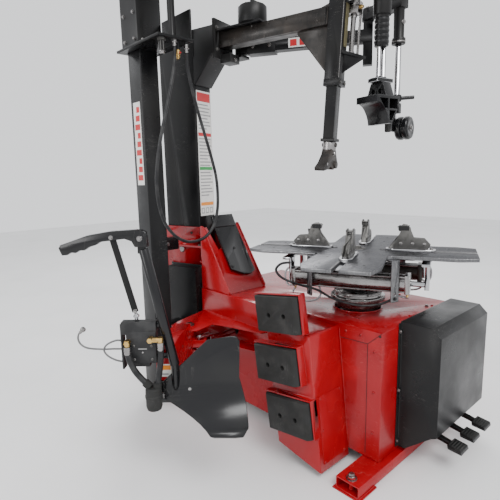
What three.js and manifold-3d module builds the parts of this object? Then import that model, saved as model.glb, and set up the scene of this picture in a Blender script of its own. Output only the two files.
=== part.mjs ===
// Tire changer: a red sheet-metal cabinet with a four-jaw turntable, a tilting column with a mount
// head, a swinging bead breaker with its control handle, three wheel pads, an assist tower with a
// bead press, and a roller arm on the tilting column. Millimetres, +Z up, the operator at -Y.
import * as THREE from "three";
import { mergeVertices } from "three/addons/utils/BufferGeometryUtils.js";
import Module from "manifold-3d";

const wasm = await Module();
wasm.setup();

// ---- driving dimensions ----
const GAP = 0.4; // kept between pieces that touch
const WALL = 3; // sheet metal of the cabinet

// Places are measured from the turntable's axis on the floor; the model is moved at the end so that
// its origin is the middle of its outline on the floor.
const OUTLINE_MIDDLE = { x: -288.5, y: 270 };

const FOOT = { height: 45, plate: 5, tube: 4, front: [-268, -178], rear: [830, 920], left: -378, right: 320 };
const CABINET = {
  bottom: 46, top: 520, left: -220, right: 300, front: -245, rear: 705, side: -262, step: 90,
};
const TABLE = { top: 755, thickness: 12, reach: 423, halfWidth: 132, notch: 190, slot: 11, turn: 24 };
const GUARD = { width: 34, thickness: 5, bottom: 592, radius: 223, inner: 172 };
const JAW = { inner: 105, length: 178, head: 172, width: 26, height: 92, shoe: 46 };
const CLAMP = { offset: 108, height: 652, radius: 31, front: -205, rodTip: -125, rod: 10 };
const COLUMN = {
  x: -172, y: 755, turn: 14.5, width: 120, depth: 210, bottom: 420, top: 1705, wall: 6, pivot: 700,
};
const TILT = { z: 450, base: -420, eye: 60, barrelEnd: -150, radius: 42, rod: 11 };
const BEAM = { bottom: 1586, top: 1703, flange: 118, arm: 64, armBottom: 1611, armEnd: 638, pot: 1685 };
const ARM_SLOT = BEAM.arm / 2 + 1.5; // half the width of the window that the horizontal arm slides in
const HEAD = { fwd: 669, lean: 4, tube: 60, bottom: 1385, top: 1700, bar: 44, barBottom: 1186, barTop: 1940 };
const LIFT = { x: 54, y: -40, bottom: 1512, top: 1690, radius: 10 };
const ROLLER_ARM = { x: -30, y: 640, bottom: 1605, width: 50, endX: 277, endY: 155 };
const ROLLER = { x: 255, y: -2, radius: 48, half: 27, side: -17, z: 1233, fork: 1330, reach: 50, turn: 107 };
const TOWER = { left: -500, right: -415, front: 740, rear: 845, bottom: 46, top: 1900 };
const CARRIAGE = { bottom: 1578, top: 1860, left: -538, right: -376, front: 530, rear: 868, plate: 10 };
const ASSIST = { x: -457, y: 560, elbowX: -450, elbowY: 100, bottom: 1715, section: 60 };
const PRESS = { x: 122, y: -6, padBottom: 1238, shelf: 1340, padTop: 1396, turn: -90, width: 104 };
const BREAKER = { x: -445, y: 555, endX: -762, endY: 235, low: 330, high: 410, pin: 30, half: 30 };
const PULL = { x: -461.5, y: 459.5, z: 370, holeY: 456.4, hole: 14, rod: 12, barrel: 84 };
const BLADE = { plane: -30, thickness: 6, straight: 405, top: 545 };
const HANDLE = { top: 832, topX: -41, bottom: 420, bottomX: 38, radius: 16, y: -30 };
const LINK = { topX: -138, topZ: 871, bottomX: -80, bottomZ: 629 };
const COVER = { left: -100, right: 300, front: -390, bottom: 150, top: 540, flange: 30 };
const PEDAL = { spots: [-10, 95, 200], pivotY: -300, pivotZ: 118, reach: 452, width: 62 };
const PAD = {
  width: 206, height: 128, depth: 38, back: -392, turn: -8.4, rows: [[52, 570], [60, 382], [2, 207]],
};
const PAD_BOX = { left: -384, profile: [[-121, 21], [-69, 508], [138, 508], [112, 290], [82, 56]] };

// ---- geometry helpers ----
const rad = THREE.MathUtils.degToRad;
const toVec = (p) => new THREE.Vector3(...p);

/** A manifold solid from a closed three.js geometry. */
function solid(geometry) {
  const bare = geometry.index ? geometry.toNonIndexed() : geometry.clone();
  for (const name of Object.keys(bare.attributes)) {
    if (name !== "position") bare.deleteAttribute(name);
  }
  const merged = mergeVertices(bare, 1e-3);
  const vertProperties = new Float32Array(merged.attributes.position.array);
  const triVerts = new Uint32Array(merged.index.array);
  return new wasm.Manifold(new wasm.Mesh({ numProp: 3, vertProperties, triVerts }));
}

/** A three.js geometry from a manifold solid. */
function geometryOf(body) {
  const mesh = body.getMesh();
  const geometry = new THREE.BufferGeometry();
  const points = new Float32Array(mesh.numVert * 3);
  for (let i = 0; i < mesh.numVert; i += 1) {
    for (let k = 0; k < 3; k += 1) points[i * 3 + k] = mesh.vertProperties[i * mesh.numProp + k];
  }
  geometry.setAttribute("position", new THREE.BufferAttribute(points, 3));
  geometry.setIndex(new THREE.BufferAttribute(new Uint32Array(mesh.triVerts), 1));
  geometry.computeVertexNormals();
  return geometry;
}

const join = (...geometries) => geometryOf(geometries.map(solid).reduce((a, b) => a.add(b)));

const cut = (base, ...tools) => geometryOf(tools.map(solid).reduce((a, b) => a.subtract(b), solid(base)));

const common = (a, b) => geometryOf(solid(a).intersect(solid(b)));

/** A box between two corners. */
function box(low, high) {
  const size = high.map((value, i) => value - low[i]);
  const geometry = new THREE.BoxGeometry(...size);
  return geometry.translate(...low.map((value, i) => value + size[i] / 2));
}

/** A round bar between two points, with an optional smaller or larger far end. */
function bar(start, end, radius, sides = 16, endRadius = radius) {
  const from = toVec(start);
  const along = toVec(end).sub(from);
  const geometry = new THREE.CylinderGeometry(endRadius, radius, along.length(), sides);
  const up = new THREE.Vector3(0, 1, 0);
  const turn = new THREE.Quaternion().setFromUnitVectors(up, along.clone().normalize());
  geometry.applyQuaternion(turn);
  return geometry.translate(...from.add(along.multiplyScalar(0.5)).toArray());
}

/** A round tube, open at both ends, between two points. */
function tube(start, end, radius, inner, sides = 20) {
  const from = toVec(start);
  const to = toVec(end);
  const extra = to.clone().sub(from).normalize();
  const boreStart = from.clone().sub(extra).toArray();
  const boreEnd = to.clone().add(extra).toArray();
  return cut(bar(start, end, radius, sides), bar(boreStart, boreEnd, inner, sides));
}

/** An outline in X and Y, raised from one height to another. */
function slab(outline, low, high) {
  const shape = new THREE.Shape(outline.map((p) => new THREE.Vector2(...p)));
  return new THREE.ExtrudeGeometry(shape, { depth: high - low, bevelEnabled: false }).translate(0, 0, low);
}

/** An outline in Y and Z, carried along X. */
function alongX(outline, low, high) {
  const turn = new THREE.Matrix4().set(0, 0, 1, 0, 1, 0, 0, 0, 0, 1, 0, 0, 0, 0, 0, 1);
  return slab(outline, low, high).applyMatrix4(turn);
}

/** An outline in X and Z, carried along Y. */
function alongY(outline, low, high) {
  const turn = new THREE.Matrix4().set(1, 0, 0, 0, 0, 0, -1, 0, 0, 1, 0, 0, 0, 0, 0, 1);
  return slab(outline, -high, -low).applyMatrix4(turn);
}

/** A round hose with eight sides along a smooth curve through its points. */
function hose(points, radius, steps) {
  const section = new THREE.Shape();
  for (let i = 0; i < 8; i += 1) {
    const angle = rad(45 * i + 22.5);
    section[i ? "lineTo" : "moveTo"](radius * Math.cos(angle), radius * Math.sin(angle));
  }
  section.closePath();
  const path = new THREE.CatmullRomCurve3(points.map(toVec), false, "centripetal");
  return new THREE.ExtrudeGeometry(section, { steps, extrudePath: path, bevelEnabled: false });
}

// ---- materials ----
function finish(color, roughness, metalness) {
  return () => new THREE.MeshStandardMaterial({ color, roughness, metalness });
}

const redPaint = finish(0xc1121a, 0.3, 0.1);
const blackPaint = finish(0x17181a, 0.35, 0.2);
const rubber = finish(0x2c2b29, 0.85, 0);
const darkSteel = finish(0x55534f, 0.5, 0.8);
const chrome = finish(0xd8d8da, 0.12, 1);
const plateSteel = finish(0x9a9a9c, 0.35, 0.9);
const hoseRubber = finish(0x101112, 0.6, 0);
const castIron = finish(0x4a4b4d, 0.6, 0.5);

const machine = new THREE.Group();

/** A named piece in a group. */
function piece(parent, name, geometry, material) {
  const mesh = new THREE.Mesh(geometry, material());
  mesh.name = name;
  parent.add(mesh);
  return mesh;
}

/** A group at a place, turned about the vertical by degrees. */
function station(parent, x, y, z = 0, turn = 0) {
  const group = new THREE.Group();
  group.position.set(x, y, z);
  group.rotation.z = rad(turn);
  parent.add(group);
  return group;
}

// ---- cabinet and feet ----
function addCabinet() {
  const c = CABINET;
  const plan = [
    [c.left, c.front], [c.right, c.front], [c.right, c.rear],
    [c.side, c.rear], [c.side, c.step], [c.left, c.step],
  ];
  const inside = [
    [c.left + WALL, c.front + WALL], [c.right - WALL, c.front + WALL], [c.right - WALL, c.rear - WALL],
    [c.side + WALL, c.rear - WALL], [c.side + WALL, c.step + WALL], [c.left + WALL, c.step + WALL],
  ];
  const shaftHole = bar([0, 0, c.top - 10], [0, 0, c.top + 5], 92, 32);
  const rodHole = bar([c.side - 5, PULL.y, PULL.z], [c.side + 10, PULL.y, PULL.z], PULL.rod + 6, 20);
  const tailHole = box([-252, 640, 395], [-72, c.rear + 5, c.top + 5]);
  const hollow = slab(inside, c.bottom - 1, c.top - WALL);
  const shell = cut(slab(plan, c.bottom, c.top), hollow, shaftHole, rodHole, tailHole);
  piece(machine, "cabinet_shell", join(shell, breakerClevis(c.side), pedalShaft()), redPaint);
}

/** Two plates that stick out of the cabinet's side and hold the bead breaker's pin. */
function breakerClevis(side) {
  const b = BREAKER;
  const outline = [
    [side + 2, 250], [side - 34, 262], [-333, 414], [-362, 495], [-463, 474], [-519, 550], [-500, 612],
    [-440, 640], [side + 2, 690],
  ];
  const upper = slab(outline, b.high, b.high + 6);
  const lower = slab(outline, b.low - 6, b.low);
  const pin = bar([b.x, b.y, b.low - 14], [b.x, b.y, b.high + 14], 14, 16);
  return join(upper, lower, pin);
}

/** The shaft on the cabinet's front wall that the pedals turn on, with its four brackets. */
function pedalShaft() {
  const p = PEDAL;
  const spots = [p.spots[0] - 40, p.spots[0] + 52, p.spots[1] + 52, p.spots[2] + 40];
  const back = CABINET.front + 1;
  const bracketAt = (x) => box([x - 3, p.pivotY - 14, p.pivotZ - 14], [x + 3, back, p.pivotZ + 40]);
  const shaft = bar([spots[0], p.pivotY, p.pivotZ], [spots[3], p.pivotY, p.pivotZ], 8, 16);
  return join(shaft, ...spots.map(bracketAt));
}

/** A hollow foot tube on a base plate with an anchor hole and its bolt. */
function addFoot(name, [front, rear]) {
  const f = FOOT;
  const middle = (front + rear) / 2;
  const boltX = f.left + 26;
  const outer = box([f.left, front, f.plate - 1], [f.right, rear, f.height]);
  const wall = f.tube;
  const inner = box([f.left - 1, front + wall, f.plate + 2], [f.right + 1, rear - wall, f.height - wall]);
  const plate = box([f.left - 8, front - 9, 0], [f.left + 96, rear + 9, f.plate]);
  const otherPlate = box([f.right - 96, front - 9, 0], [f.right, rear + 9, f.plate]);
  const bolt = bar([boltX, middle, f.plate - 1], [boltX, middle, f.height + 9], 8, 12);
  const head = bar([boltX, middle, f.height - 1], [boltX, middle, f.height + 8], 14, 6);
  piece(machine, name, join(cut(outer, inner), plate, otherPlate, bolt, head), redPaint);
}

// ---- wheel pads on their leaning box ----
function addPads() {
  const p = PAD;
  const { left, profile } = PAD_BOX;
  const hollowProfile = profile.map(([y, z]) => [30 + (y - 30) * 0.955, z > 400 ? z - 4 : z - 12]);
  const outer = alongX(profile, left, CABINET.left - GAP);
  let body = cut(outer, alongX(hollowProfile, left + 4, CABINET.left + 5));
  const half = [p.width / 2, p.height / 2];
  p.rows.forEach(([y, z], i) => {
    const plate = box([p.back, -half[0] - 5, -half[1] - 6], [left + 1, half[0] + 5, half[1] + 9]);
    const lip = box([p.back - 22, -half[0] - 8, -half[1] - 2], [left + 1, -half[0] - 3, half[1] + 9]);
    const shelf = box([p.back - 22, -half[0] - 8, half[1] + 3], [left + 1, half[0] + 5, half[1] + 9]);
    for (const part of [plate, lip, shelf]) body = join(body, part.rotateX(rad(p.turn)).translate(0, y, z));
    const pad = padBlock(half).rotateX(rad(p.turn)).translate(0, y, z);
    piece(machine, `wheel_pad_${i + 1}`, pad, rubber);
  });
  const ribSide = (y) => [[y, 500], [y + 18, 610], [y + 24, 610], [y + 6, 500]];
  const ribs = [-40, 100].map((y) => alongX(ribSide(y), left - 1, left + 34));
  const step = box([CABINET.side - GAP, CABINET.step - GAP, 0], [CABINET.left + 20, 400, 700]);
  piece(machine, "pads_box", cut(join(body, ...ribs), step), redPaint);
}

/** One rubber block with chamfered edges and two sunk bolt holes. */
function padBlock([halfY, halfZ]) {
  const front = PAD.back - PAD.depth;
  const back = PAD.back - GAP;
  const chamfer = 12;
  const face = [
    [-halfY, -halfZ], [halfY - chamfer, -halfZ], [halfY, -halfZ + chamfer], [halfY, halfZ], [-halfY, halfZ],
  ];
  const block = alongX(face, front, back);
  const bevels = [1, -1].map((side) => {
    const wedge = box([-10, -9, -200], [10, 9, 200]);
    wedge.rotateZ(rad(45 * side));
    return wedge.translate(front, side * halfY, 0);
  });
  const holes = [-42, 30].map((y) => bar([front - 2, y, -4], [front + 24, y, -4], 9, 16));
  return cut(block, ...bevels, ...holes);
}

// ---- tower base that carries the tilting column ----
function addTowerBase() {
  const c = COLUMN;
  const group = station(machine, c.x, c.y, 0, c.turn);
  const half = c.width / 2 + 3;
  const cheeks = [[-half - 8, -half], [half, half + 8]].map(([a, b]) => box([a, -28, 47], [b, 226, 812]));
  const rearPlate = box([-half - 1, 218, 47], [half + 1, 226, 520]);
  const frontPlate = box([-half - 1, -28, 47], [half + 1, -20, 380]);
  const rib = box([-half - 22, -26, 712], [-half - 1, 200, 722]);
  const pin = bar([-half - 16, 105, c.pivot], [half + 16, 105, c.pivot], 15, 16);
  const gusset = frontGusset().translate(-c.x, -c.y, 0).rotateZ(rad(-c.turn));
  const clearance = box([-c.width / 2 - 2.5, -110, 500.5], [c.width / 2 + 2.5, 214, 830]);
  const body = join(cut(gusset, clearance), ...cheeks, rearPlate, frontPlate, rib, pin);
  piece(group, "tower_base", body, redPaint);
  addGuardPad();
  const hollow = box([-half - 49, -1, 303], [-half - 7, 165, 615]);
  const lid = box([-half - 52, -4, 300], [-half - 8 - GAP, 168, 618]);
  const flange = box([-half - 12, -22, 292], [-half - 8 - GAP, 184, 628]);
  piece(group, "valve_cover", cut(join(lid, flange), hollow), blackPaint);
}

/** The sloped channel between the cabinet's top and the front of the tower base. */
function frontGusset() {
  const face = [[512, 520.4], [700, 812], [706, 812], [706, 802], [530, 522], [530, 520.4]];
  const flange = [[509, 520.4], [506, 532], [694, 820], [712, 820], [712, 520.4]];
  return join(alongX(face, -248, -24), alongX(flange, -252, -246), alongX(flange, -30, -24));
}

/** The rubber guard that lies on the sloped front of the tower base and folds up at its top. */
function addGuardPad() {
  const slope = Math.atan2(812 - 520, 700 - 512);
  const thickness = 12;
  const outline = [[-66, 330], [70, 345], [68, 85], [38, 70], [-6, 76], [-66, 108]];
  const pad = slab(outline, 0, thickness);
  pad.rotateX(slope);
  pad.translate(-128, 512 - 7.5, 520 + 6.5);
  const collar = alongX([[678, 806], [668, 812], [698, 866], [709, 862]], -192, -62);
  piece(machine, "guard_pad", join(pad, collar), rubber);
}

// ---- tilting column, beam and horizontal arm ----
function addColumn() {
  const c = COLUMN;
  const group = station(machine, c.x, c.y, 0, c.turn);
  const half = c.width / 2;
  const w = c.wall;
  const lugs = [-22, 14].map((x) => box([x, w - 1, c.bottom], [x + 8, 92, c.bottom + 90]));
  const body = join(
    cut(
      box([-half, 0, c.bottom], [half, c.depth, c.top]),
      box([-half + w, w, c.bottom - 1], [half - w, c.depth - w, c.top - 5]),
    ),
    ...lugs,
  );
  const pivotHole = bar([-half - 5, 105, c.pivot], [half + 5, 105, c.pivot], 15 + GAP, 16);
  const rodWindow = box([-13.5, -5, c.bottom - 1], [13.5, 8, TILT.z + 40]);
  const eyeSlot = box([-30, TILT.eye - 10, TILT.z - 16], [30, TILT.eye + 10, TILT.z + 16]);
  const { arm, armBottom } = BEAM;
  const armWindow = box([-ARM_SLOT, -5, armBottom - 1.5], [ARM_SLOT, 8, armBottom + arm + 1.5]);
  piece(group, "column_tube", cut(body, pivotHole, rodWindow, eyeSlot, armWindow), blackPaint);
  addBeamHead(group);
  addTiltCylinder(group);
  addArm(group);
}

/** The welded head in front of the column: a hollow beam, its flange plate and the sloped gusset. */
function addBeamHead(group) {
  const b = BEAM;
  const half = COLUMN.width / 2;
  const window = box([-ARM_SLOT, -150, b.armBottom - 1.5], [ARM_SLOT, 5, b.armBottom + b.arm + 1.5]);
  const beam = box([-half, -b.flange, b.bottom], [half, -GAP, b.top]);
  const flange = box([-half - 6, -b.flange - 12, b.bottom - 22], [half + 6, -b.flange + 1, b.top + 24]);
  const gussetSide = [[-GAP, 1466], [-GAP, b.bottom + 1], [-b.flange + 6, b.bottom + 1], [-8, 1466]];
  const gusset = alongX(gussetSide, -half, half);
  const gussetHollow = alongX([[5, 1500], [5, 1580], [-80, 1580]], -half + 5, half - 5);
  const clamp = box([-26, -b.flange - 66, b.bottom - 40], [44, -b.flange - 10, b.bottom - 4]);
  const post = box([half - 1, -b.flange - 10, 1588], [half + 14, -b.flange + 40, 1680]);
  const lug = box([half + 8, -178, 1585], [half + 78, -b.flange + 40, 1597]);
  const pin = bar([109, -147, 1590], [109, -147, 1684], 11, 16);
  const potPlate = box([-50, -350, b.pot - 8], [50, -b.flange, b.pot]);
  const body = join(cut(join(beam, flange), window), cut(gusset, gussetHollow));
  piece(group, "beam_head", join(body, clamp, post, lug, pin, potPlate), blackPaint);
}

/** The pneumatic cylinder that tilts the column, between the cabinet and the column's tail. */
function addTiltCylinder(group) {
  const t = TILT;
  const barrel = join(
    bar([0, t.base + 20, t.z], [0, t.barrelEnd, t.z], t.radius, 24),
    box([-12, t.base - 16, t.z - 16], [12, t.base + 24, t.z + 16]),
    bar([-34, t.base, t.z], [34, t.base, t.z], 10, 12),
  );
  const bore = bar([0, t.base + 40, t.z], [0, t.barrelEnd + 5, t.z], t.rod + 0.8, 16);
  piece(group, "tilt_cylinder", cut(barrel, bore), darkSteel);
  const rod = join(
    bar([0, t.barrelEnd - 60, t.z], [0, t.eye - 8, t.z], t.rod, 16),
    bar([-11, t.eye, t.z], [11, t.eye, t.z], 15, 16),
    bar([-26, t.eye, t.z], [26, t.eye, t.z], 7, 14),
  );
  piece(group, "tilt_rod", rod, chrome);
}

function addArm(group) {
  const b = BEAM;
  const half = b.arm / 2;
  const top = b.armBottom + b.arm;
  const lean = Math.tan(rad(HEAD.lean));
  const endAt = (z) => -b.armEnd - (z - 1600) * lean;
  const tubeSide = [[-6, b.armBottom], [-6, top], [endAt(top), top], [endAt(b.armBottom), b.armBottom]];
  const webSide = [
    [-565, top - 2], [endAt(1697), 1697], [endAt(1450), 1450], [-616, 1450], [-500, 1602], [-500, top - 2],
  ];
  piece(group, "arm_tube", join(alongX(tubeSide, -half, half), alongX(webSide, -5, 5)), blackPaint);
  const y = -285;
  const pot = join(
    bar([0, y, b.pot + GAP], [0, y, b.pot + 66], 62, 28),
    bar([0, y, b.pot + 65], [0, y, b.pot + 72], 56, 28),
    bar([0, y, b.pot + 68], [0, y, b.pot + 104], 9, 10),
    bar([0, y, b.pot + 94], [34, y, b.pot + 94], 8, 10),
  );
  piece(group, "lock_pot", pot, blackPaint);
  addToolHead(group);
}

/** The leaning square slide at the arm's end with its lifting cylinder, bar and mount head. */
function addToolHead(parent) {
  const h = HEAD;
  const group = new THREE.Group();
  const pivotZ = 1600;
  group.position.set(0, -h.fwd, pivotZ);
  group.rotation.x = rad(h.lean);
  parent.add(group);
  const half = h.tube / 2;
  const bore = h.bar / 2 + 1.2;
  const low = h.bottom - pivotZ;
  const high = h.top - pivotZ;
  const plateZ = LIFT.bottom - pivotZ;
  const bracket = [[half - 1, 10], [-half, -half + 1], [-half, -half - 8], [104, -84], [112, -52], [64, 10]];
  const gusset = alongY([[0, plateZ - 9], [0, plateZ - 78], [106, plateZ - 9]].reverse(), -4, 4);
  gusset.rotateZ(rad(-32)).translate(4, -half + 2, 0);
  const slide = cut(
    join(
      box([-half, -half, low], [half, half, high]),
      box([-half - 5, -half - 5, low], [half + 5, half, low + 26]),
      slab(bracket, plateZ - 10, plateZ),
      gusset,
    ),
    box([-bore, -bore, low - 5], [bore, bore, high + 5]),
  );
  piece(group, "slide_head", slide, blackPaint);
  const { x, y } = LIFT;
  const liftTop = LIFT.top - pivotZ;
  const cylinder = join(
    bar([x, y, plateZ + GAP], [x, y, liftTop], LIFT.radius, 20),
    box([half + GAP, y - 24, liftTop - 34], [x + 26, y + 30, liftTop + 12]),
    bar([x + 18, y - 20, plateZ + GAP], [x + 18, y - 20, liftTop], 5, 10),
  );
  piece(group, "lift_cylinder", cylinder, plateSteel);
  addToolBar(group, h.barBottom - pivotZ, h.barTop - pivotZ);
}

/** The square bar that slides in the head, with the mount head below and its stop cap on top. */
function addToolBar(group, bottom, top) {
  const square = HEAD.bar / 2;
  const toolBar = join(
    box([-square, -square, bottom], [square, square, top]),
    box([-square - 6, -square - 6, top - 1], [square + 6, square + 6, top + 12]),
    bar([0, -6, bottom - 10], [0, -6, bottom + 1], 9, 12),
  );
  piece(group, "tool_bar", toolBar, blackPaint);
  const socket = bar([0, -6, bottom - 12], [0, -6, bottom + 2], 9 + GAP, 12);
  const head = mountHead(bottom - GAP).rotateZ(rad(-90));
  piece(group, "mount_head", cut(head, socket), plateSteel);
}

/** A duck-shaped mount head on its round joint, with its finger and its hooked toe. */
function mountHead(top) {
  const stem = bar([0, 0, top - 42], [0, 0, top], 24, 20);
  const joint = join(stem, bar([-30, 0, top - 22], [30, 0, top - 22], 9, 12));
  const body = alongX([
    [-22, top - 38], [-30, top - 60], [-58, top - 92], [-88, top - 112], [-84, top - 124], [-30, top - 116],
    [10, top - 120], [34, top - 110], [46, top - 86], [34, top - 64], [22, top - 38],
  ], -20, 20);
  const heel = bar([-26, 26, top - 100], [26, 26, top - 100], 15, 14);
  const notch = bar([-40, -18, top - 124], [40, -18, top - 124], 16, 16);
  return cut(join(joint, body, heel), notch);
}

// ---- turntable with its four sliding jaws ----
function addTurntable() {
  const t = TABLE;
  const group = station(machine, 0, 0, 0, t.turn);
  piece(group, "turntable_plate", turntablePlate(), plateSteel);
  const under = t.top - t.thickness - GAP;
  const hub = join(
    bar([0, 0, 500], [0, 0, under], 34, 20),
    bar([0, 0, 524], [0, 0, 556], 86, 36),
    bar([0, 0, 556], [0, 0, 572], 106, 40),
    bar([0, 0, 572], [0, 0, 590], 92, 36),
    bar([0, 0, 712], [0, 0, under], 71, 28),
  );
  piece(group, "turntable_hub", hub, chrome);
  for (let i = 0; i < 4; i += 1) addJaw(group, i);
}

/** The four-armed plate, slotted along each arm, with the flat guards that hang at its edge. */
function turntablePlate() {
  const t = TABLE;
  const low = t.top - t.thickness;
  const near = t.notch * Math.SQRT1_2;
  const armOutline = [
    [near + 8, -near + 8], [t.reach - 64, -t.halfWidth], [t.reach, -t.halfWidth + 22],
    [t.reach, t.halfWidth - 22], [t.reach - 64, t.halfWidth], [near + 8, near - 8],
  ];
  const quarters = [0, 90, 180, 270];
  const cross = quarters.flatMap((turn) => {
    const [c, d] = [Math.cos(rad(turn)), Math.sin(rad(turn))];
    return armOutline.map(([x, y]) => [x * c - y * d, x * d + y * c]);
  });
  const slots = quarters.map((turn) => {
    const slot = box([83, -t.slot, low - 1], [t.reach + 1, t.slot, t.top + 1]);
    return slot.rotateZ(rad(turn));
  });
  const plate = cut(slab(cross, low, t.top), ...slots);
  const guards = quarters.map((turn) => hangingGuard(low).rotateZ(rad(turn + 45)));
  return join(plate, ...guards);
}

/** A flat bar that hangs outside the clamping cylinders, on a leg below the plate's inner corner. */
function hangingGuard(low) {
  const g = GUARD;
  const half = g.width / 2;
  const leg = box([g.inner, -half, low - g.thickness], [g.radius, half, low + 0.5]);
  const hanger = box([g.radius - g.thickness, -half, g.bottom], [g.radius, half, low + 0.5]);
  const holes = [12, 30].map((z) => {
    return bar([g.radius - 10, 0, g.bottom + z], [g.radius + 5, 0, g.bottom + z], 5, 14);
  });
  return cut(join(leg, hanger), ...holes);
}

/** One jaw and its slide. Jaws 2 and 4 each carry one clamping cylinder and the other one's rod. */
function addJaw(group, index) {
  const t = TABLE;
  const j = JAW;
  const arm = station(group, 0, 0, 0, 90 * index);
  const low = t.top - t.thickness;
  const start = j.inner;
  const end = start + j.length;
  const shoeOutline = [
    [start, -14], [start + 30, -j.shoe / 2], [end - 20, -j.shoe / 2], [end, -12],
    [end, 12], [end - 20, j.shoe / 2], [start + 30, j.shoe / 2], [start, 14],
  ];
  const parts = [
    slab(shoeOutline, t.top + GAP, t.top + 8),
    box([start + 20, -t.slot + 1, low - 12], [end - 20, t.slot - 1, t.top + 2]),
    box([start + 8, -30, low - 22], [end - 10, 30, low - GAP]),
  ];
  if (index % 2 === 1) parts.push(...clampLinks(end, low));
  piece(arm, `jaw_slide_${index + 1}`, join(...parts), chrome);
  piece(arm, `jaw_${index + 1}`, jawBody(t.top + 8 + GAP), darkSteel);
  if (index % 2 === 1) piece(arm, `clamp_cylinder_${(index + 1) / 2}`, clampBarrel(end), plateSteel);
}

/** The bracket that carries this jaw's cylinder, and the bracket and rod that reach into the other's. */
function clampLinks(end, low) {
  const k = CLAMP;
  const bridge = box([end - 42, -k.offset - 30, low - 22], [end - 12, k.offset + 30, low - 12]);
  const carrier = box([end - 45.5, k.offset - 24, k.height - 20], [end - 36, k.offset + 24, low - 14]);
  const rodBracket = box([end - 30, -k.offset - 20, k.height - 16], [end - 14, -k.offset + 20, low - 14]);
  const rod = bar([k.rodTip, -k.offset, k.height], [end - 20, -k.offset, k.height], k.rod, 16);
  return [bridge, carrier, rodBracket, rod];
}

/** A clamping cylinder's barrel between its two square end blocks. */
function clampBarrel(end) {
  const k = CLAMP;
  const block = (x) => box([x, k.offset - 32, k.height - 34], [x + 18, k.offset + 32, k.height + 34]);
  const barrel = bar([k.front + 10, k.offset, k.height], [end - 62, k.offset, k.height], k.radius, 24);
  const bore = bar([k.front - 5, k.offset, k.height], [end - 66, k.offset, k.height], k.rod + 1, 16);
  return cut(join(barrel, block(k.front), block(end - 64)), bore);
}

/** A jaw: two side plates on a core, a toothed gripping head and a sloped back. */
function jawBody(low) {
  const j = JAW;
  const half = j.width / 2;
  const side = [
    [j.inner + 34, low], [j.inner + 150, low], [j.inner + 160, low + 16], [j.inner + 138, low + 40],
    [j.inner + 100, low + 42], [j.head + 22, low + j.height - 24], [j.head + 20, low + j.height - 14],
    [j.head + 8, low + j.height - 2], [j.head - 8, low + j.height], [j.head - 22, low + j.height - 16],
    [j.head - 14, low + j.height - 26], [j.head - 20, low + 52], [j.inner + 30, low + 16],
  ];
  const plates = [1, -1].map((s) => alongY(side, s * half - (s > 0 ? 5 : 0), s * half + (s > 0 ? 0 : 5)));
  const core = alongY([
    [j.inner + 44, low], [j.inner + 140, low], [j.inner + 96, low + 34], [j.head + 12, low + j.height - 26],
    [j.head - 12, low + j.height - 28], [j.inner + 40, low + 12],
  ], -half + 2, half - 2);
  const ramp = alongY([
    [j.inner + 8, low], [j.inner + 46, low], [j.head - 10, low + 58], [j.head - 16, low + 58],
  ], -9, 9);
  const teeth = [];
  for (let i = 0; i < 3; i += 1) {
    const z = low + j.height - 8 - 7 * i;
    teeth.push(box([j.head - 26 + 3 * i, -half + 1, z - 4], [j.head + 14, half - 1, z]));
  }
  return join(...plates, core, ramp, ...teeth);
}

// ---- bead breaker ----
function addBreaker() {
  const b = BREAKER;
  const dx = b.endX - b.x;
  const dy = b.endY - b.y;
  const turn = Math.atan2(dy, dx);
  const length = Math.hypot(dx, dy) - b.pin;
  const arm = station(machine, b.x, b.y, 0, THREE.MathUtils.radToDeg(turn));
  const side = [
    [-34, b.low + 2], [-34, b.high - 2], [94, b.high - 2], [134, 470], [length - 60, 500], [length + 36, 500],
    [length + 36, 382], [length - 40, 382], [120, b.low + 2],
  ];
  const hollow = [[140, 300], [140, 460], [length - 60, 492], [length + 26, 492], [length + 26, 300]];
  const lug = box([62, b.half - 4, PULL.z - 15], [104, 84, PULL.z + 15]);
  const toLug = new THREE.Vector2(PULL.x - b.x, PULL.holeY - b.y).rotateAround(new THREE.Vector2(), -turn);
  const beam = cut(
    join(alongY(side, -b.half, b.half), lug),
    bar([0, 0, 300], [0, 0, 450], 14 + GAP, 16),
    alongY(hollow, -b.half + 4, b.half - 4),
    bar([toLug.x, toLug.y, 300], [toLug.x, toLug.y, 440], PULL.hole, 20),
  );
  const endPin = bar([length, 0, 290], [length, 0, 496], 13, 16);
  const yoke = box([length - 30, -b.half, 382], [length + 30, b.half, 390]);
  piece(arm, "breaker_arm", join(beam, endPin, yoke), redPaint);
  addBreakerCylinder();
  addBlade();
}

/** The cylinder inside the cabinet and its rod, whose fork holds the lug of the breaker arm. */
function addBreakerCylinder() {
  const p = PULL;
  const wall = CABINET.side + WALL + GAP;
  const rod = join(
    bar([p.x + 48, p.y, p.z], [-224, p.y, p.z], p.rod, 16),
    box([p.x - 14, p.y - 16, p.z + 16.5], [p.x + 60, p.y + 16, p.z + 26]),
    box([p.x - 14, p.y - 16, p.z - 26], [p.x + 60, p.y + 16, p.z - 16.5]),
    box([p.x + 46, p.y - 16, p.z - 26], [p.x + 60, p.y + 16, p.z + 26]),
    bar([p.x, p.y, p.z - 30], [p.x, p.y, p.z + 30], 8, 14),
  );
  piece(machine, "breaker_rod", rod, chrome);
  const barrel = join(
    bar([wall, p.y, p.z], [-156, p.y, p.z], p.barrel, 32),
    box([wall, p.y - 92, p.z - 92], [wall + 14, p.y + 92, p.z + 92]),
  );
  const bore = bar([-300, p.y, p.z], [-160, p.y, p.z], p.rod + 1, 16);
  piece(machine, "breaker_cylinder", cut(barrel, bore), castIron);
}

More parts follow.
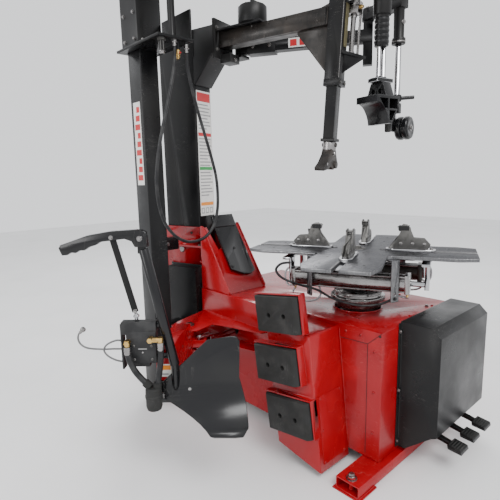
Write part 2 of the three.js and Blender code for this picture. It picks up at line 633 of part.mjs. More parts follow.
function addBlade() {
  const b = BREAKER;
  const group = station(machine, b.endX, b.endY, 0, -45);
  piece(group, "breaker_blade", bladePlate(), blackPaint);
  const h = HANDLE;
  const y = h.y;
  const holder = cut(
    join(
      box([-30, b.pin - 32, 300], [30, b.pin + 30, 378]),
      box([-24, BLADE.plane + BLADE.thickness + GAP, 318], [110, 2, 372]),
      bar([h.bottomX, y, h.bottom + 30], [h.topX, y, h.top], h.radius, 20),
      bar([h.bottomX, y, h.bottom + 36], [h.bottomX, y + 9, 350], h.radius - 3, 16),
      box([-59, y - 4, h.top - 14], [-33, y + 4, h.top + 44]),
      box([-40, y - 8, 580], [0, y + 8, 594]),
      box([-40, y - 8, 474], [24, y + 8, 488]),
      bar([-14, y - 32, 350], [-14, y + 18, 350], 8, 12),
      bar([-28, y - 32, 322], [-28, y - 32, 384], 25, 20),
      bar([-28, y - 32, 310], [-28, y - 32, 323], 17, 20, 25),
    ),
    bar([0, b.pin, 280], [0, b.pin, 390], 13 + GAP, 16),
  );
  piece(group, "blade_handle", holder, blackPaint);
  addValveBlock(group);
  addGripLever(group);
}

/** The curved blade: a bent strip cut to the blade's outline. */
function bladePlate() {
  const b = BLADE;
  const front = b.plane;
  const radius = 150;
  const steps = 9;
  const inner = [];
  const outer = [];
  for (let i = 0; i <= steps; i += 1) {
    const angle = rad((74 * i) / steps);
    const wide = radius + b.thickness;
    inner.push([front - radius * (1 - Math.cos(angle)), b.straight - radius * Math.sin(angle)]);
    outer.push([front + b.thickness - wide * (1 - Math.cos(angle)), b.straight - wide * Math.sin(angle)]);
  }
  const profile = [[front, b.top + 10], ...inner, ...outer.reverse(), [front + b.thickness, b.top + 10]];
  const outline = [
    [-4, 390], [-4, 344], [8, 334], [166, 258], [188, 248], [262, 259], [278, 272], [268, 325], [247, 402],
    [251, 528], [242, 540], [224, 543], [147, 532],
  ];
  const { bottomX, y, bottom, radius: tubeRadius } = HANDLE;
  const tubeNotch = bar([bottomX, y, bottom + 42], [bottomX, y + 9, 346], tubeRadius - 2, 16);
  return cut(common(alongX(profile.reverse(), -12, 300), alongY(outline, -160, 20)), tubeNotch);
}

/** The control valve on the handle: hooded bracket, body and ports. */
function addValveBlock(group) {
  const y = HANDLE.y;
  const spoolX = LINK.bottomX + 2;
  const block = join(
    box([-126, y - 14, 562], [-14, y + 16, 598]),
    box([-130, y - 14, 440], [-124, y + 16, 592]),
    box([-125, y - 14, 556], [-100, y + 14, 564]),
    box([-112, y - 16, 462], [-16, y + 14, 564]),
    box([-96, y - 12, 448], [-40, y + 10, 464]),
    bar([-105, y - 10, 534], [-105, y - 36, 534], 8, 10),
    bar([-105, y - 28, 540], [-105, y - 28, 512], 8, 10),
    bar([-30, y - 10, 544], [-30, y - 36, 544], 8, 10),
    bar([-30, y - 28, 544], [9, y - 28, 544], 8, 10),
    bar([2, y - 28, 550], [2, y - 28, 528], 8, 10),
  );
  const spoolBore = bar([spoolX, y, 525], [spoolX, y, 640], 6.6, 14);
  const tongues = [570, 473].map((z) => box([-41, y - 9, z], [0, y + 9, z + (z > 500 ? 26 : 16)]));
  piece(group, "valve_block", cut(block, spoolBore, ...tongues), castIron);
  const stem = bar([spoolX, y, 545], [spoolX, y, 624], 6, 14);
  const nut = bar([spoolX, y, 612], [spoolX, y, 619], 10, 6);
  piece(group, "valve_spool", join(stem, nut), chrome);
}

function addGripLever(group) {
  const h = HANDLE;
  const outline = [
    [-26, 838], [-28, 884], [-42, 892], [-62, 894], [-140, 890], [-215, 878], [-300, 850], [-306, 840],
    [-297, 817], [-280, 818], [-268, 826], [-252, 824], [-240, 832], [-224, 832], [-210, 842], [-188, 848],
    [-172, 858], [-96, 866], [-74, 858], [-64, 838],
  ];
  const lever = cut(
    alongY(outline, h.y - 12, h.y + 12),
    box([-68, h.y - 5, 820], [-20, h.y + 5, 884]),
    box([-75, h.y - 20, 820], [-20, h.y + 20, h.top + 8]),
    box([LINK.topX - 14, h.y - 4, 840], [LINK.topX + 16, h.y + 4, 884]),
  );
  piece(group, "grip_lever", lever, blackPaint);
  const dx = LINK.bottomX - LINK.topX;
  const dz = LINK.bottomZ - LINK.topZ;
  const strap = box([-10, -3, -Math.hypot(dx, dz)], [10, 3, 8]);
  strap.rotateY(Math.atan2(-dx, -dz));
  piece(group, "link_bar", strap.translate(LINK.topX, h.y, LINK.topZ), blackPaint);
}

// ---- assist tower with the bead press ----
function addAssistTower() {
  const t = TOWER;
  const post = box([t.left, t.front, t.bottom + 0.4], [t.right, t.rear, t.top]);
  const base = box([t.left - 14, t.front - 30, t.bottom + 0.4], [t.right + 14, t.rear + 14, t.bottom + 12]);
  const socket = box([t.left - 8, t.front - 8, t.bottom + 8], [t.right + 8, t.rear + 8, 250]);
  const ties = [330, 740].map((z) => box([t.right - 1, 796, z - 30], [-318, 832, z + 30]));
  const hollow = box([t.left + 5, t.front + 5, t.bottom - 5], [t.right - 5, t.rear - 5, t.top - 5]);
  piece(machine, "assist_column", cut(join(post, base, socket, ...ties), hollow), blackPaint);
  addCarriage();
}

/** The carriage: two plates round the tower joined by cheeks, with the pin of the first arm. */
function addCarriage() {
  const c = CARRIAGE;
  const t = TOWER;
  const gap = 2;
  const window = box([t.left - gap, t.front - gap, 1500], [t.right + gap, t.rear + gap, 1950]);
  const plateAt = (z) => box([c.left, c.front, z], [c.right, c.rear, z + c.plate]);
  const plates = [c.bottom, c.top - c.plate].map(plateAt);
  const cheeks = [
    box([t.left - 14, t.front - 16, c.bottom + 1], [t.left - gap, t.rear + 16, c.top - 1]),
    box([t.right + gap, t.front - 16, c.bottom + 1], [t.right + 14, t.rear + 16, c.top - 1]),
  ];
  const face = box([t.left - 14, t.front - 16, c.bottom + 1], [t.right + 14, t.front - gap, c.top - 1]);
  const rear = box([t.left - 14, t.rear + gap, c.bottom + 1], [t.right + 14, t.rear + 12, c.top - 1]);
  const web = box([c.right - 12, c.front + 4, c.bottom + 1], [c.right - 4, t.front, 1700]);
  const stud = bar([-505, 560, c.bottom - 48], [-505, 560, c.bottom + 1], 11, 12);
  const port = bar([-433, 560, c.bottom - 34], [-433, 560, c.bottom + 1], 8, 10);
  const pin = bar([ASSIST.x, ASSIST.y, c.bottom + 5], [ASSIST.x, ASSIST.y, c.top - 5], 15, 16);
  const hoseStub = bar([-402, 545, c.bottom - 16], [-402, 545, c.bottom + 1], 9, 10);
  const body = cut(join(...plates, ...cheeks, face, rear, web), window);
  piece(machine, "carriage", join(body, stud, port, pin, hoseStub), blackPaint);
  addAssistArms();
}

/** A square arm between two vertical pivots: an eye at its start, a pin below its end. */
function swingArm(from, to, low, section, eye, reach) {
  const dx = to[0] - from[0];
  const dy = to[1] - from[1];
  const length = Math.hypot(dx, dy);
  const half = section / 2;
  const beam = box([0, -half, low], [length + reach, half, low + section]);
  const boss = bar([0, 0, low - 2], [0, 0, low + section + 2], eye + 14, 20);
  const arm = cut(join(beam, boss), bar([0, 0, low - 20], [0, 0, low + section + 20], eye + 1, 16));
  return { geometry: arm, turn: THREE.MathUtils.radToDeg(Math.atan2(dy, dx)), length };
}

function addAssistArms() {
  const a = ASSIST;
  const upper = a.bottom + a.section + 12;
  const first = swingArm([a.x, a.y], [a.elbowX, a.elbowY], upper, a.section, 15, 34);
  const group1 = station(machine, a.x, a.y, 0, first.turn);
  const elbowPin = bar([first.length, 0, a.bottom - 14], [first.length, 0, upper + 10], 15, 16);
  piece(group1, "assist_arm_1", join(first.geometry, elbowPin), blackPaint);
  const second = swingArm([a.elbowX, a.elbowY], [PRESS.x, PRESS.y], a.bottom, a.section, 15, 46);
  const group2 = station(machine, a.elbowX, a.elbowY, 0, second.turn);
  const end = second.length;
  const housing = bar([end, 0, 1640], [end, 0, 1900], 34, 24);
  const gland = bar([end, 0, 1530], [end, 0, 1642], 27, 20);
  const bores = pressSpots(end).map(([x, y]) => bar([x, y, 1500], [x, y, 1880], 9.6, 16));
  piece(group2, "assist_arm_2", cut(join(second.geometry, housing, gland), ...bores), blackPaint);
  addPress(group2, end);
}

const pressSpots = (end) => [[end - 13, 0], [end + 13, 0]];

/** The press: two chrome rods with a cross plate and the curved ribbed pad below it. */
function addPress(group, end) {
  const p = PRESS;
  const rods = pressSpots(end).map(([x, y]) => bar([x, y, p.padTop], [x, y, 1850], 9, 16));
  const cross = box([end - 44, -24, p.padTop - 1], [end + 44, 24, p.padTop + 14]);
  piece(group, "press_rods", join(...rods, cross), chrome);
  piece(group, "press_pad", pressPad().rotateZ(rad(p.turn)).translate(end, 0, 0), rubber);
}

/** The foot of the press: a hollow-faced block with ribbed, open sides under a tapered neck. */
function pressPad() {
  const p = PRESS;
  const half = p.width / 2;
  const steps = 8;
  const reach = p.shelf - 22 - p.padBottom;
  const face = [];
  for (let i = 0; i <= steps; i += 1) {
    const angle = rad((78 * i) / steps);
    const drop = (1 - Math.cos(angle)) / (1 - Math.cos(rad(78)));
    face.push([-74 + 66 * Math.sin(angle), p.shelf - 22 - reach * drop]);
  }
  const back = [[14, p.padBottom], [52, p.shelf - 30], [52, p.shelf], [-74, p.shelf]];
  const pockets = [
    [[-58, p.shelf - 10], [-12, p.shelf - 10], [-12, p.shelf - 46], [-30, p.shelf - 46]],
    [[-4, p.shelf - 10], [42, p.shelf - 10], [42, p.shelf - 46], [-4, p.shelf - 46]],
    [[-4, p.shelf - 54], [32, p.shelf - 54], [12, p.padBottom + 12], [-1, p.padBottom + 12]],
  ];
  const sunk = pockets.flatMap((side) => [alongX(side, 4, half + 1), alongX(side, -half - 1, -4)]);
  const neckTop = p.padTop - 1 - GAP;
  const neck = alongY([[-50, p.shelf - 1], [50, p.shelf - 1], [30, neckTop], [-30, neckTop]], -22, 22);
  const windows = [-17, 17].map((x) => bar([x, -30, p.shelf + 20], [x, 30, p.shelf + 20], 10, 14));
  return cut(join(alongX([...face, ...back], -half, half), neck), ...sunk, ...windows);
}

// ---- roller arm on the column's beam ----
function addRollerArm() {
  const r = ROLLER_ARM;
  const first = swingArm([r.x, r.y], [r.endX, r.endY], r.bottom, r.width, 11, 18);
  const group1 = station(machine, r.x, r.y, 0, first.turn);
  const sleeve = box([40, -r.width / 2 - 7, r.bottom - 7], [170, r.width / 2 + 7, r.bottom + r.width + 7]);
  const post = join(
    box([first.length - 20, -20, 1512], [first.length + 20, 20, 1690]),
    bar([first.length, 0, 1688], [first.length, 0, 1742], 13, 16),
  );
  piece(group1, "roller_arm_1", join(first.geometry, sleeve, post), blackPaint);
  const second = swingArm([r.endX, r.endY], [ROLLER.x, ROLLER.y], 1694, 44, 13, 26);
  const group2 = station(machine, r.endX, r.endY, 0, second.turn);
  const end = second.length;
  const guide = join(
    second.geometry,
    bar([end, 0, 1580], [end, 0, 1925], 21, 20),
    bar([end, 0, 1560], [end, 0, 1582], 27, 20),
    bar([end, 0, 1918], [end, 0, 1936], 27, 20),
  );
  piece(group2, "roller_arm_2", cut(guide, bar([end, 0, 1540], [end, 0, 1915], 12.8, 16)), blackPaint);
  addRoller(group2, end);
}

/** The roller on its chrome rod: a bent arm with a locking lever, and the grooved twin wheel. */
function addRoller(parent, end) {
  const r = ROLLER;
  const group = station(parent, end, 0, 0, r.turn);
  const far = r.side + r.half;
  const cheek = alongY([
    [-14, r.fork], [14, r.fork], [r.reach + 12, r.z + 16], [r.reach + 16, r.z - 14], [-14, r.z - 14],
  ].reverse(), far + 4, far + 11);
  const stem = join(
    bar([0, 0, r.fork - 4], [0, 0, 1880], 12, 16),
    box([-14, -14, r.z + 58], [14, far + 11, r.fork]),
    cheek,
    bar([r.reach, r.side - r.half + 2, r.z], [r.reach, far + 10, r.z], 8, 12),
    bar([0, 0, r.fork + 20], [43, -54, r.fork + 23], 6, 10),
    bar([0, 0, r.fork + 8], [0, 0, r.fork + 32], 17, 16),
    bar([-26, 24, r.z - 14], [-26, 24, r.fork - 4], 9, 12),
    box([-36, 14, r.fork - 14], [2, 34, r.fork - 3]),
  );
  piece(group, "roller_stem", stem, darkSteel);
  const { half, radius } = r;
  const bore = 8 + GAP;
  const profile = [
    [bore, -half], [radius - 6, -half], [radius, -half + 6], [radius, -6], [radius - 12, -3],
    [radius - 12, 3], [radius, 6], [radius, half - 6], [radius - 6, half], [bore, half], [bore, -half],
  ].map((p) => new THREE.Vector2(...p));
  const wheel = new THREE.LatheGeometry(profile, 28).translate(r.reach, r.side, r.z);
  piece(group, "roller", wheel, rubber);
}

// ---- front cover and pedals ----
function addFrontCover() {
  const c = COVER;
  const front = CABINET.front - GAP;
  const side = [
    [front, 60], [front - c.flange, 60], [c.front + 20, c.bottom - 10], [c.front, c.bottom], [c.front, 505],
    [c.front + 30, 535], [front - c.flange, c.top - 4], [front, c.top - 4],
  ];
  const inner = [
    [front + 5, 40], [front - c.flange, 40], [c.front + 23, c.bottom - 30], [c.front + 3, c.bottom - 12],
    [c.front + 3, 503], [c.front + 31, 532], [front - c.flange, c.top - 8], [front + 5, c.top - 8],
  ];
  const body = cut(alongX(side, c.left, c.right), alongX(inner, c.left + 3, c.right - 3));
  const lip = box([c.left - 16, front - 4, 60], [c.left + 1, front, c.top - 10]);
  piece(machine, "front_cover", join(body, lip), blackPaint);
  PEDAL.spots.forEach((x, i) => addPedal(x, i));
}

/** A foot pedal: an eye on the shaft inside the cover, an arm and a wide tread. */
function addPedal(x, index) {
  const p = PEDAL;
  const half = p.width / 2;
  const eye = bar([x - 22, p.pivotY, p.pivotZ], [x + 22, p.pivotY, p.pivotZ], 14, 16);
  const hole = bar([x - 30, p.pivotY, p.pivotZ], [x + 30, p.pivotY, p.pivotZ], 8 + GAP, 16);
  const arm = alongX([
    [p.pivotY - 6, p.pivotZ - 10], [p.pivotY - 6, p.pivotZ + 8], [-408, 104], [-408, 92],
  ].reverse(), x - 9, x + 9);
  const treadSide = [[-p.reach + 4, 100], [-402, 106], [-404, 92], [-p.reach, 88]];
  const tread = alongX(treadSide, x - half, x + half);
  piece(machine, `pedal_${index + 1}`, cut(join(eye, arm, tread), hole), blackPaint);
}

// ---- drive and breaker cylinder inside the cabinet ----
function addInside() {
  const housing = join(
    box([-80, -80, 330], [110, 90, 496]),
    bar([0, 0, 490], [0, 0, 499.5], 60, 24),
    box([70, -60, 320], [200, 60, 360]),
    bar([150, 0, 100], [150, 0, 330], 66, 24),
    box([-70, -70, 200], [100, 80, 334]),
    box([-214, -96, 196], [296, -80, 214]),
    box([-214, 80, 196], [296, 96, 214]),
    box([-70, -96, 200], [100, 96, 214]),
  );
  piece(machine, "gear_motor", housing, castIron);
}

// ---- hoses ----
const ASSIST_HOSE = [
  [-402, 545, 1561], [-402, 545, 1530], [-400, 545, 1480], [-384, 545, 1405], [-361, 545, 1325],
  [-328, 545, 1225], [-297, 545, 1130], [-276, 545, 1050], [-270, 545, 970], [-277, 545, 895],
  [-304, 545, 830], [-348, 545, 792], [-400, 545, 780], [-455, 545, 788], [-508, 545, 822],
  [-548, 545, 880], [-568, 545, 955], [-572, 545, 1035], [-562, 545, 1115], [-545, 545, 1190],
  [-523, 545, 1270], [-500, 545, 1345], [-480, 545, 1415], [-464, 547, 1475], [-456, 549, 1520],
  [-454, 550, 1577],
];
const BREAKER_HOSE_1 = [
  [-105, -58, 511], [-104, -59, 493], [-99, -61, 475], [-92, -62, 458], [-83, -62, 440], [-70, -62, 422],
  [-55, -62, 405], [-43, -62, 393],
];
const BREAKER_HOSE_2 = [
  [2, -58, 527], [2, -59, 505], [0, -60, 480], [-3, -61, 455], [-7, -62, 430], [-11, -62, 410],
  [-14, -62, 393],
];
const AIR_LINE = [
  [-131, -20, 500], [-145, -20, 500], [-168, -20, 500], [-195, -20, 499], [-222, -20, 500], [-244, -20, 502],
  [-262, -20, 508], [-275, -20, 520], [-280, -20, 536], [-276, -20, 552], [-264, -20, 564],
];

function addHoses() {
  const blade = station(machine, BREAKER.endX, BREAKER.endY, 0, -45);
  piece(machine, "assist_hose", hose(ASSIST_HOSE, 6.5, 76), hoseRubber);
  piece(blade, "breaker_hose_1", hose(BREAKER_HOSE_1, 10, 14), hoseRubber);
  piece(blade, "breaker_hose_2", hose(BREAKER_HOSE_2, 10, 14), hoseRubber);
  piece(blade, "air_line", hose(AIR_LINE, 3, 24), hoseRubber);
}

addCabinet();
addFoot("front_foot", FOOT.front);
addFoot("rear_foot", FOOT.rear);
addPads();
addTowerBase();
addColumn();
addTurntable();
addBreaker();
addAssistTower();
addRollerArm();
addFrontCover();
addInside();
addHoses();

machine.position.set(-OUTLINE_MIDDLE.x, -OUTLINE_MIDDLE.y, 0);

export default machine;
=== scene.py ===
"""Looks of the tire changer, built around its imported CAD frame.

Places are given in millimetres in the frame of the sub-assembly they belong to, such as the tilting
column or the blade's handle, and become metres in the row's frame when a piece is made.
"""
import math

import bpy
from mathutils import Matrix, Vector


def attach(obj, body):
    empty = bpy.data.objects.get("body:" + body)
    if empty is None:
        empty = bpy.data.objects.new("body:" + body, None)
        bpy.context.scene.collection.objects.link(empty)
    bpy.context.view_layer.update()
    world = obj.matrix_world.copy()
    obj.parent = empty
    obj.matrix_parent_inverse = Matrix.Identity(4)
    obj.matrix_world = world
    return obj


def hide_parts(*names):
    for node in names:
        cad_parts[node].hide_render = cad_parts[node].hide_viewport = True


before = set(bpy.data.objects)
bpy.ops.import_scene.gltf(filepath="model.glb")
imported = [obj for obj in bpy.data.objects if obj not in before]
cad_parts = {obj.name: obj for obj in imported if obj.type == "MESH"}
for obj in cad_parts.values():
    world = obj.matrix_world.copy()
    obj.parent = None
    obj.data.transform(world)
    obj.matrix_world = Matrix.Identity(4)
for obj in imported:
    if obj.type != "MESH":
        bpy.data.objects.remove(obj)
MM = 0.001
OUTLINE_MIDDLE = (-288.5, 270.0)  # where the row's origin is, measured from the turntable's axis


# ---- places of the sub-assemblies ----
def placed(parent, x, y, z=0.0, turn=0.0):
    """A frame at a point of its parent's, in millimetres, turned about the vertical by degrees."""
    spin = Matrix.Rotation(math.radians(turn), 4, "Z")
    return parent @ Matrix.Translation(Vector((x, y, z)) * MM) @ spin


def heading(start, end):
    """The direction from one point on the floor plan to another, in degrees."""
    return math.degrees(math.atan2(end[1] - start[1], end[0] - start[0]))


MACHINE = placed(Matrix.Identity(4), -OUTLINE_MIDDLE[0], -OUTLINE_MIDDLE[1])
TABLE = placed(MACHINE, 0, 0, 0, 24)
COLUMN = placed(MACHINE, -172, 755, 0, 14.5)
TOOL = placed(COLUMN, 0, -669, 1600) @ Matrix.Rotation(math.radians(4), 4, "X")
BREAKER_PIVOT = (-445, 555)
BREAKER_END = (-762, 235)
BREAKER_ARM = placed(MACHINE, *BREAKER_PIVOT, 0, heading(BREAKER_PIVOT, BREAKER_END))
BLADE = placed(MACHINE, *BREAKER_END, 0, -45)
ASSIST_PIVOT, ASSIST_ELBOW, PRESS_AXIS = (-457, 560), (-450, 100), (122, -6)
ASSIST_1 = placed(MACHINE, *ASSIST_PIVOT, 0, heading(ASSIST_PIVOT, ASSIST_ELBOW))
ASSIST_2 = placed(MACHINE, *ASSIST_ELBOW, 0, heading(ASSIST_ELBOW, PRESS_AXIS))
PRESS_REACH = math.dist(ASSIST_ELBOW, PRESS_AXIS)
ROLLER_PIVOT, ROLLER_ELBOW, ROLLER_AXIS = (-30, 640), (277, 155), (255, -2)
ROLLER_1 = placed(MACHINE, *ROLLER_PIVOT, 0, heading(ROLLER_PIVOT, ROLLER_ELBOW))
ROLLER_2 = placed(MACHINE, *ROLLER_ELBOW, 0, heading(ROLLER_ELBOW, ROLLER_AXIS))
STEM = placed(ROLLER_2, math.dist(ROLLER_ELBOW, ROLLER_AXIS), 0, 0, 107)
PAD_ROWS = ((52, 570), (60, 382), (2, 207))
PAD_TURN = -8.4


# ---- materials ----
def socket(node, name):
    return node.inputs[name]


class Surface:
    """A material with a Principled shader and the noise that varies its colour, gloss and relief."""

    def __init__(self, name, color, roughness, metallic=0.0):
        self.material = bpy.data.materials.new(name)
        self.material.use_nodes = True
        self.tree = self.material.node_tree
        self.shader = self.tree.nodes["Principled BSDF"]
        self.coords = self.node("ShaderNodeTexCoord").outputs["Object"]
        socket(self.shader, "Base Color").default_value = (*color, 1)
        socket(self.shader, "Roughness").default_value = roughness
        socket(self.shader, "Metallic").default_value = metallic
        self.material.diffuse_color = (*color, 1)

    def node(self, kind):
        return self.tree.nodes.new(kind)

    def link(self, a, b):
        self.tree.links.new(a, b)

    def noise(self, scale, detail=4.0, stretch=(1, 1, 1)):
        """A noise value; it changes faster along an axis with a larger stretch."""
        mapping = self.node("ShaderNodeMapping")
        socket(mapping, "Scale").default_value = stretch
        self.link(self.coords, socket(mapping, "Vector"))
        noise = self.node("ShaderNodeTexNoise")
        socket(noise, "Scale").default_value = scale
        socket(noise, "Detail").default_value = detail
        self.link(mapping.outputs["Vector"], socket(noise, "Vector"))
        return noise.outputs["Fac"]

    def spread(self, value, low, high, start=0.35, end=0.65):
        """The value's middle range, stretched from low to high."""
        node = self.node("ShaderNodeMapRange")
        socket(node, "From Min").default_value = start
        socket(node, "From Max").default_value = end
        socket(node, "To Min").default_value = low
        socket(node, "To Max").default_value = high
        self.link(value, socket(node, "Value"))
        return node.outputs["Result"]

    def compute(self, operation, first, second=0.0):
        """A step of arithmetic on two values, each an output or a plain number."""
        node = self.node("ShaderNodeMath")
        node.operation = operation
        for value, target in zip((first, second), node.inputs):
            if isinstance(value, (int, float)):
                target.default_value = value
            else:
                self.link(value, target)
        return node.outputs[0]

    def mix_in(self, other, share):
        """Another colour over the base colour, by a share that varies over the surface."""
        mix = self.node("ShaderNodeMix")
        mix.data_type = "RGBA"
        colors = [s for s in mix.inputs if s.type == "RGBA"]
        base = socket(self.shader, "Base Color")
        if base.is_linked:
            self.link(base.links[0].from_socket, colors[0])
        else:
            colors[0].default_value = base.default_value
        colors[1].default_value = (*other, 1)
        self.link(share, mix.inputs[0])
        self.link([s for s in mix.outputs if s.type == "RGBA"][0], base)
        return self

    def tint(self, other, scale, start=0.45, end=0.7, stretch=(1, 1, 1)):
        """Patches of another colour."""
        return self.mix_in(other, self.spread(self.noise(scale, 6, stretch), 0, 1, start, end))

    def gloss(self, low, high, scale, stretch=(1, 1, 1)):
        """Roughness that wanders between two values."""
        self.link(self.spread(self.noise(scale, 5, stretch), low, high), socket(self.shader, "Roughness"))
        return self

    def relief(self, scale, depth, stretch=(1, 1, 1), detail=3.0):
        """Fine bumps, depth in metres."""
        bump = self.node("ShaderNodeBump")
        socket(bump, "Strength").default_value = 1.0
        socket(bump, "Distance").default_value = depth
        self.link(self.noise(scale, detail, stretch), socket(bump, "Height"))
        normal = socket(self.shader, "Normal")
        if normal.is_linked:
            self.link(normal.links[0].from_socket, socket(bump, "Normal"))
        self.link(bump.outputs["Normal"], normal)
        return self

    def scratches(self, color, scale, stretch, amount=0.04):
        """Thin lines of another colour, where a stretched noise crosses its middle."""
        away = self.compute("SUBTRACT", self.noise(scale, 2, stretch), 0.5)
        size = self.compute("ABSOLUTE", away)
        line = self.spread(size, 0.6, 0.0, 0.0, amount * 0.1)
        patches = self.spread(self.noise(7, 2), 0, 1, 0.52, 0.62)
        return self.mix_in(color, self.compute("MULTIPLY", line, patches))

    def reflect(self, level):
        """How strong the plain reflections are; the shader's default is 0.5."""
        socket(self.shader, "Specular IOR Level").default_value = level
        return self

    def coat(self, weight, roughness):
        """A clear coat over the colour."""
        socket(self.shader, "Coat Weight").default_value = weight
        socket(self.shader, "Coat Roughness").default_value = roughness
        return self


def red_paint():
    s = Surface("red_enamel", (0.3, 0.002, 0.006), 0.3).reflect(0.26)
    s.tint((0.23, 0.0015, 0.005), 3).tint((0.37, 0.004, 0.008), 9, 0.56, 0.8)
    s.scratches((0.55, 0.16, 0.14), 16, (1, 1, 6))
    return s.gloss(0.2, 0.34, 5).relief(260, 0.00004).relief(5, 0.0007).coat(0.24, 0.06).material


def black_paint():
    s = Surface("black_powder_coat", (0.005, 0.005, 0.0055), 0.3).reflect(0.24)
    s.tint((0.01, 0.0095, 0.009), 5).scratches((0.2, 0.19, 0.18), 22, (1, 1, 5))
    return s.gloss(0.26, 0.44, 6).relief(700, 0.00006).relief(6, 0.0006).material


def gloss_black():
    s = Surface("gloss_black", (0.005, 0.005, 0.006), 0.24).reflect(0.36)
    s.tint((0.009, 0.009, 0.009), 6).scratches((0.25, 0.24, 0.22), 14, (1, 4, 1))
    return s.gloss(0.21, 0.27, 4).relief(120, 0.00003).material


def rubber():
    s = Surface("moulded_rubber", (0.018, 0.018, 0.017), 0.75).reflect(0.26)
    s.tint((0.036, 0.035, 0.033), 14, 0.5, 0.75).tint((0.02, 0.02, 0.02), 40, 0.5, 0.7)
    s.scratches((0.16, 0.155, 0.15), 20, (1, 5, 1), 0.08)
    return s.gloss(0.6, 0.88, 12).relief(420, 0.00018).relief(40, 0.0003).material


def hose_rubber():
    s = Surface("hose_rubber", (0.009, 0.009, 0.01), 0.42).reflect(0.3)
    s.tint((0.03, 0.03, 0.03), 30)
    return s.gloss(0.35, 0.55, 20).relief(900, 0.00005).material


def plate_steel():
    s = Surface("brushed_plate", (0.17, 0.17, 0.175), 0.36, 1.0)
    s.tint((0.09, 0.09, 0.095), 7, 0.42, 0.72).tint((0.28, 0.28, 0.28), 60, 0.5, 0.8, (1, 12, 1))
    socket(s.shader, "Specular Tint").default_value = (0.45, 0.45, 0.46, 1)  # duller at a low angle
    s.scratches((0.6, 0.6, 0.6), 30, (5, 1, 1), 0.06)
    return s.gloss(0.24, 0.48, 25, (1, 14, 1)).relief(260, 0.00012, (1, 20, 1)).material


def bright_steel():
    s = Surface("bright_steel", (0.3, 0.29, 0.285), 0.26, 1.0)
    s.tint((0.2, 0.19, 0.185), 14)
    return s.gloss(0.18, 0.36, 30, (1, 1, 8)).relief(500, 0.00005, (1, 1, 10)).material


def chrome():
    s = Surface("chrome", (0.46, 0.46, 0.47), 0.08, 1.0)
    s.tint((0.36, 0.36, 0.37), 12)
    return s.gloss(0.04, 0.14, 10).relief(60, 0.00002).material


def dark_steel():
    s = Surface("phosphated_steel", (0.12, 0.117, 0.112), 0.46, 0.85)
    s.tint((0.18, 0.175, 0.165), 20, 0.5, 0.75).tint((0.07, 0.067, 0.062), 50, 0.5, 0.75)
    s.scratches((0.5, 0.48, 0.45), 25, (1, 6, 1), 0.06)
    return s.gloss(0.36, 0.6, 24).relief(340, 0.00015).material


def cast_iron():
    s = Surface("cast_black", (0.012, 0.012, 0.013), 0.5, 0.2)
    s.tint((0.03, 0.03, 0.03), 25)
    return s.gloss(0.5, 0.7, 18).relief(380, 0.0004).material


def brass():
    s = Surface("brass", (0.6, 0.4, 0.14), 0.28, 1.0)
    s.tint((0.42, 0.27, 0.1), 40)
    return s.gloss(0.2, 0.42, 60).relief(300, 0.00008).material


def mill_finish():
    s = Surface("mill_black", (0.02, 0.017, 0.015), 0.4, 0.35)
    s.tint((0.045, 0.035, 0.028), 8, 0.45, 0.75).tint((0.01, 0.009, 0.008), 30, 0.5, 0.7)
    s.scratches((0.3, 0.27, 0.24), 20, (1, 6, 1))
    return s.gloss(0.3, 0.52, 15).relief(300, 0.00012).material


def olive_paint():
    s = Surface("olive_barrel", (0.12, 0.1, 0.045), 0.35, 0.5)
    s.tint((0.16, 0.14, 0.07), 9)
    return s.gloss(0.28, 0.42, 9).relief(200, 0.00006).material


def grey_hose():
    s = Surface("grey_hose", (0.1, 0.1, 0.1), 0.4)
    s.tint((0.15, 0.15, 0.15), 40)
    return s.gloss(0.32, 0.5, 40).relief(500, 0.00004).material


def clear_hose():
    s = Surface("clear_hose", (0.3, 0.3, 0.31), 0.2)
    s.tint((0.42, 0.42, 0.43), 60).coat(0.5, 0.03)
    return s.gloss(0.15, 0.3, 60).relief(200, 0.00003).material


def printed(name, color):
    """Vinyl label stock in one colour."""
    s = Surface(name, color, 0.4)
    s.tint(tuple(c * 0.82 for c in color), 30, 0.5, 0.8)
    return s.gloss(0.32, 0.5, 20).relief(150, 0.00003).material


def pressed_dark():
    s = Surface("shadow_black", (0.004, 0.004, 0.004), 0.7)
    s.tint((0.01, 0.01, 0.01), 30)
    return s.gloss(0.6, 0.8, 20).relief(200, 0.00005).material


RED, BLACK, GLOSS, RUBBER, HOSE = red_paint(), black_paint(), gloss_black(), rubber(), hose_rubber()
PLATE, BRIGHT, CHROME, DARK, IRON = plate_steel(), bright_steel(), chrome(), dark_steel(), cast_iron()
BRASS, MILL, OLIVE, CLEAR, SHADOW = brass(), mill_finish(), olive_paint(), clear_hose(), pressed_dark()
GREY_HOSE = grey_hose()
PAPER = printed("label_white", (0.72, 0.71, 0.68))
PRINT_RED = printed("label_red", (0.5, 0.012, 0.016))
PRINT_GREY = printed("label_grey", (0.28, 0.28, 0.28))
PRINT_GREEN = printed("label_green", (0.02, 0.28, 0.06))
PRINT_ORANGE = printed("label_orange", (0.75, 0.24, 0.01))


# ---- pieces ----
def basis(direction):
    """Two unit vectors square to a direction."""
    direction = Vector(direction).normalized()
    helper = Vector((0, 0, 1)) if abs(direction.z) < 0.9 else Vector((1, 0, 0))
    side = direction.cross(helper).normalized()
    return side, direction.cross(side).normalized()


def circle(radius, z, parts):
    """Points round the vertical, the last on the first."""
    angles = [2 * math.pi * i / parts for i in range(parts + 1)]
    return [(radius * math.cos(a), radius * math.sin(a), z) for a in angles]


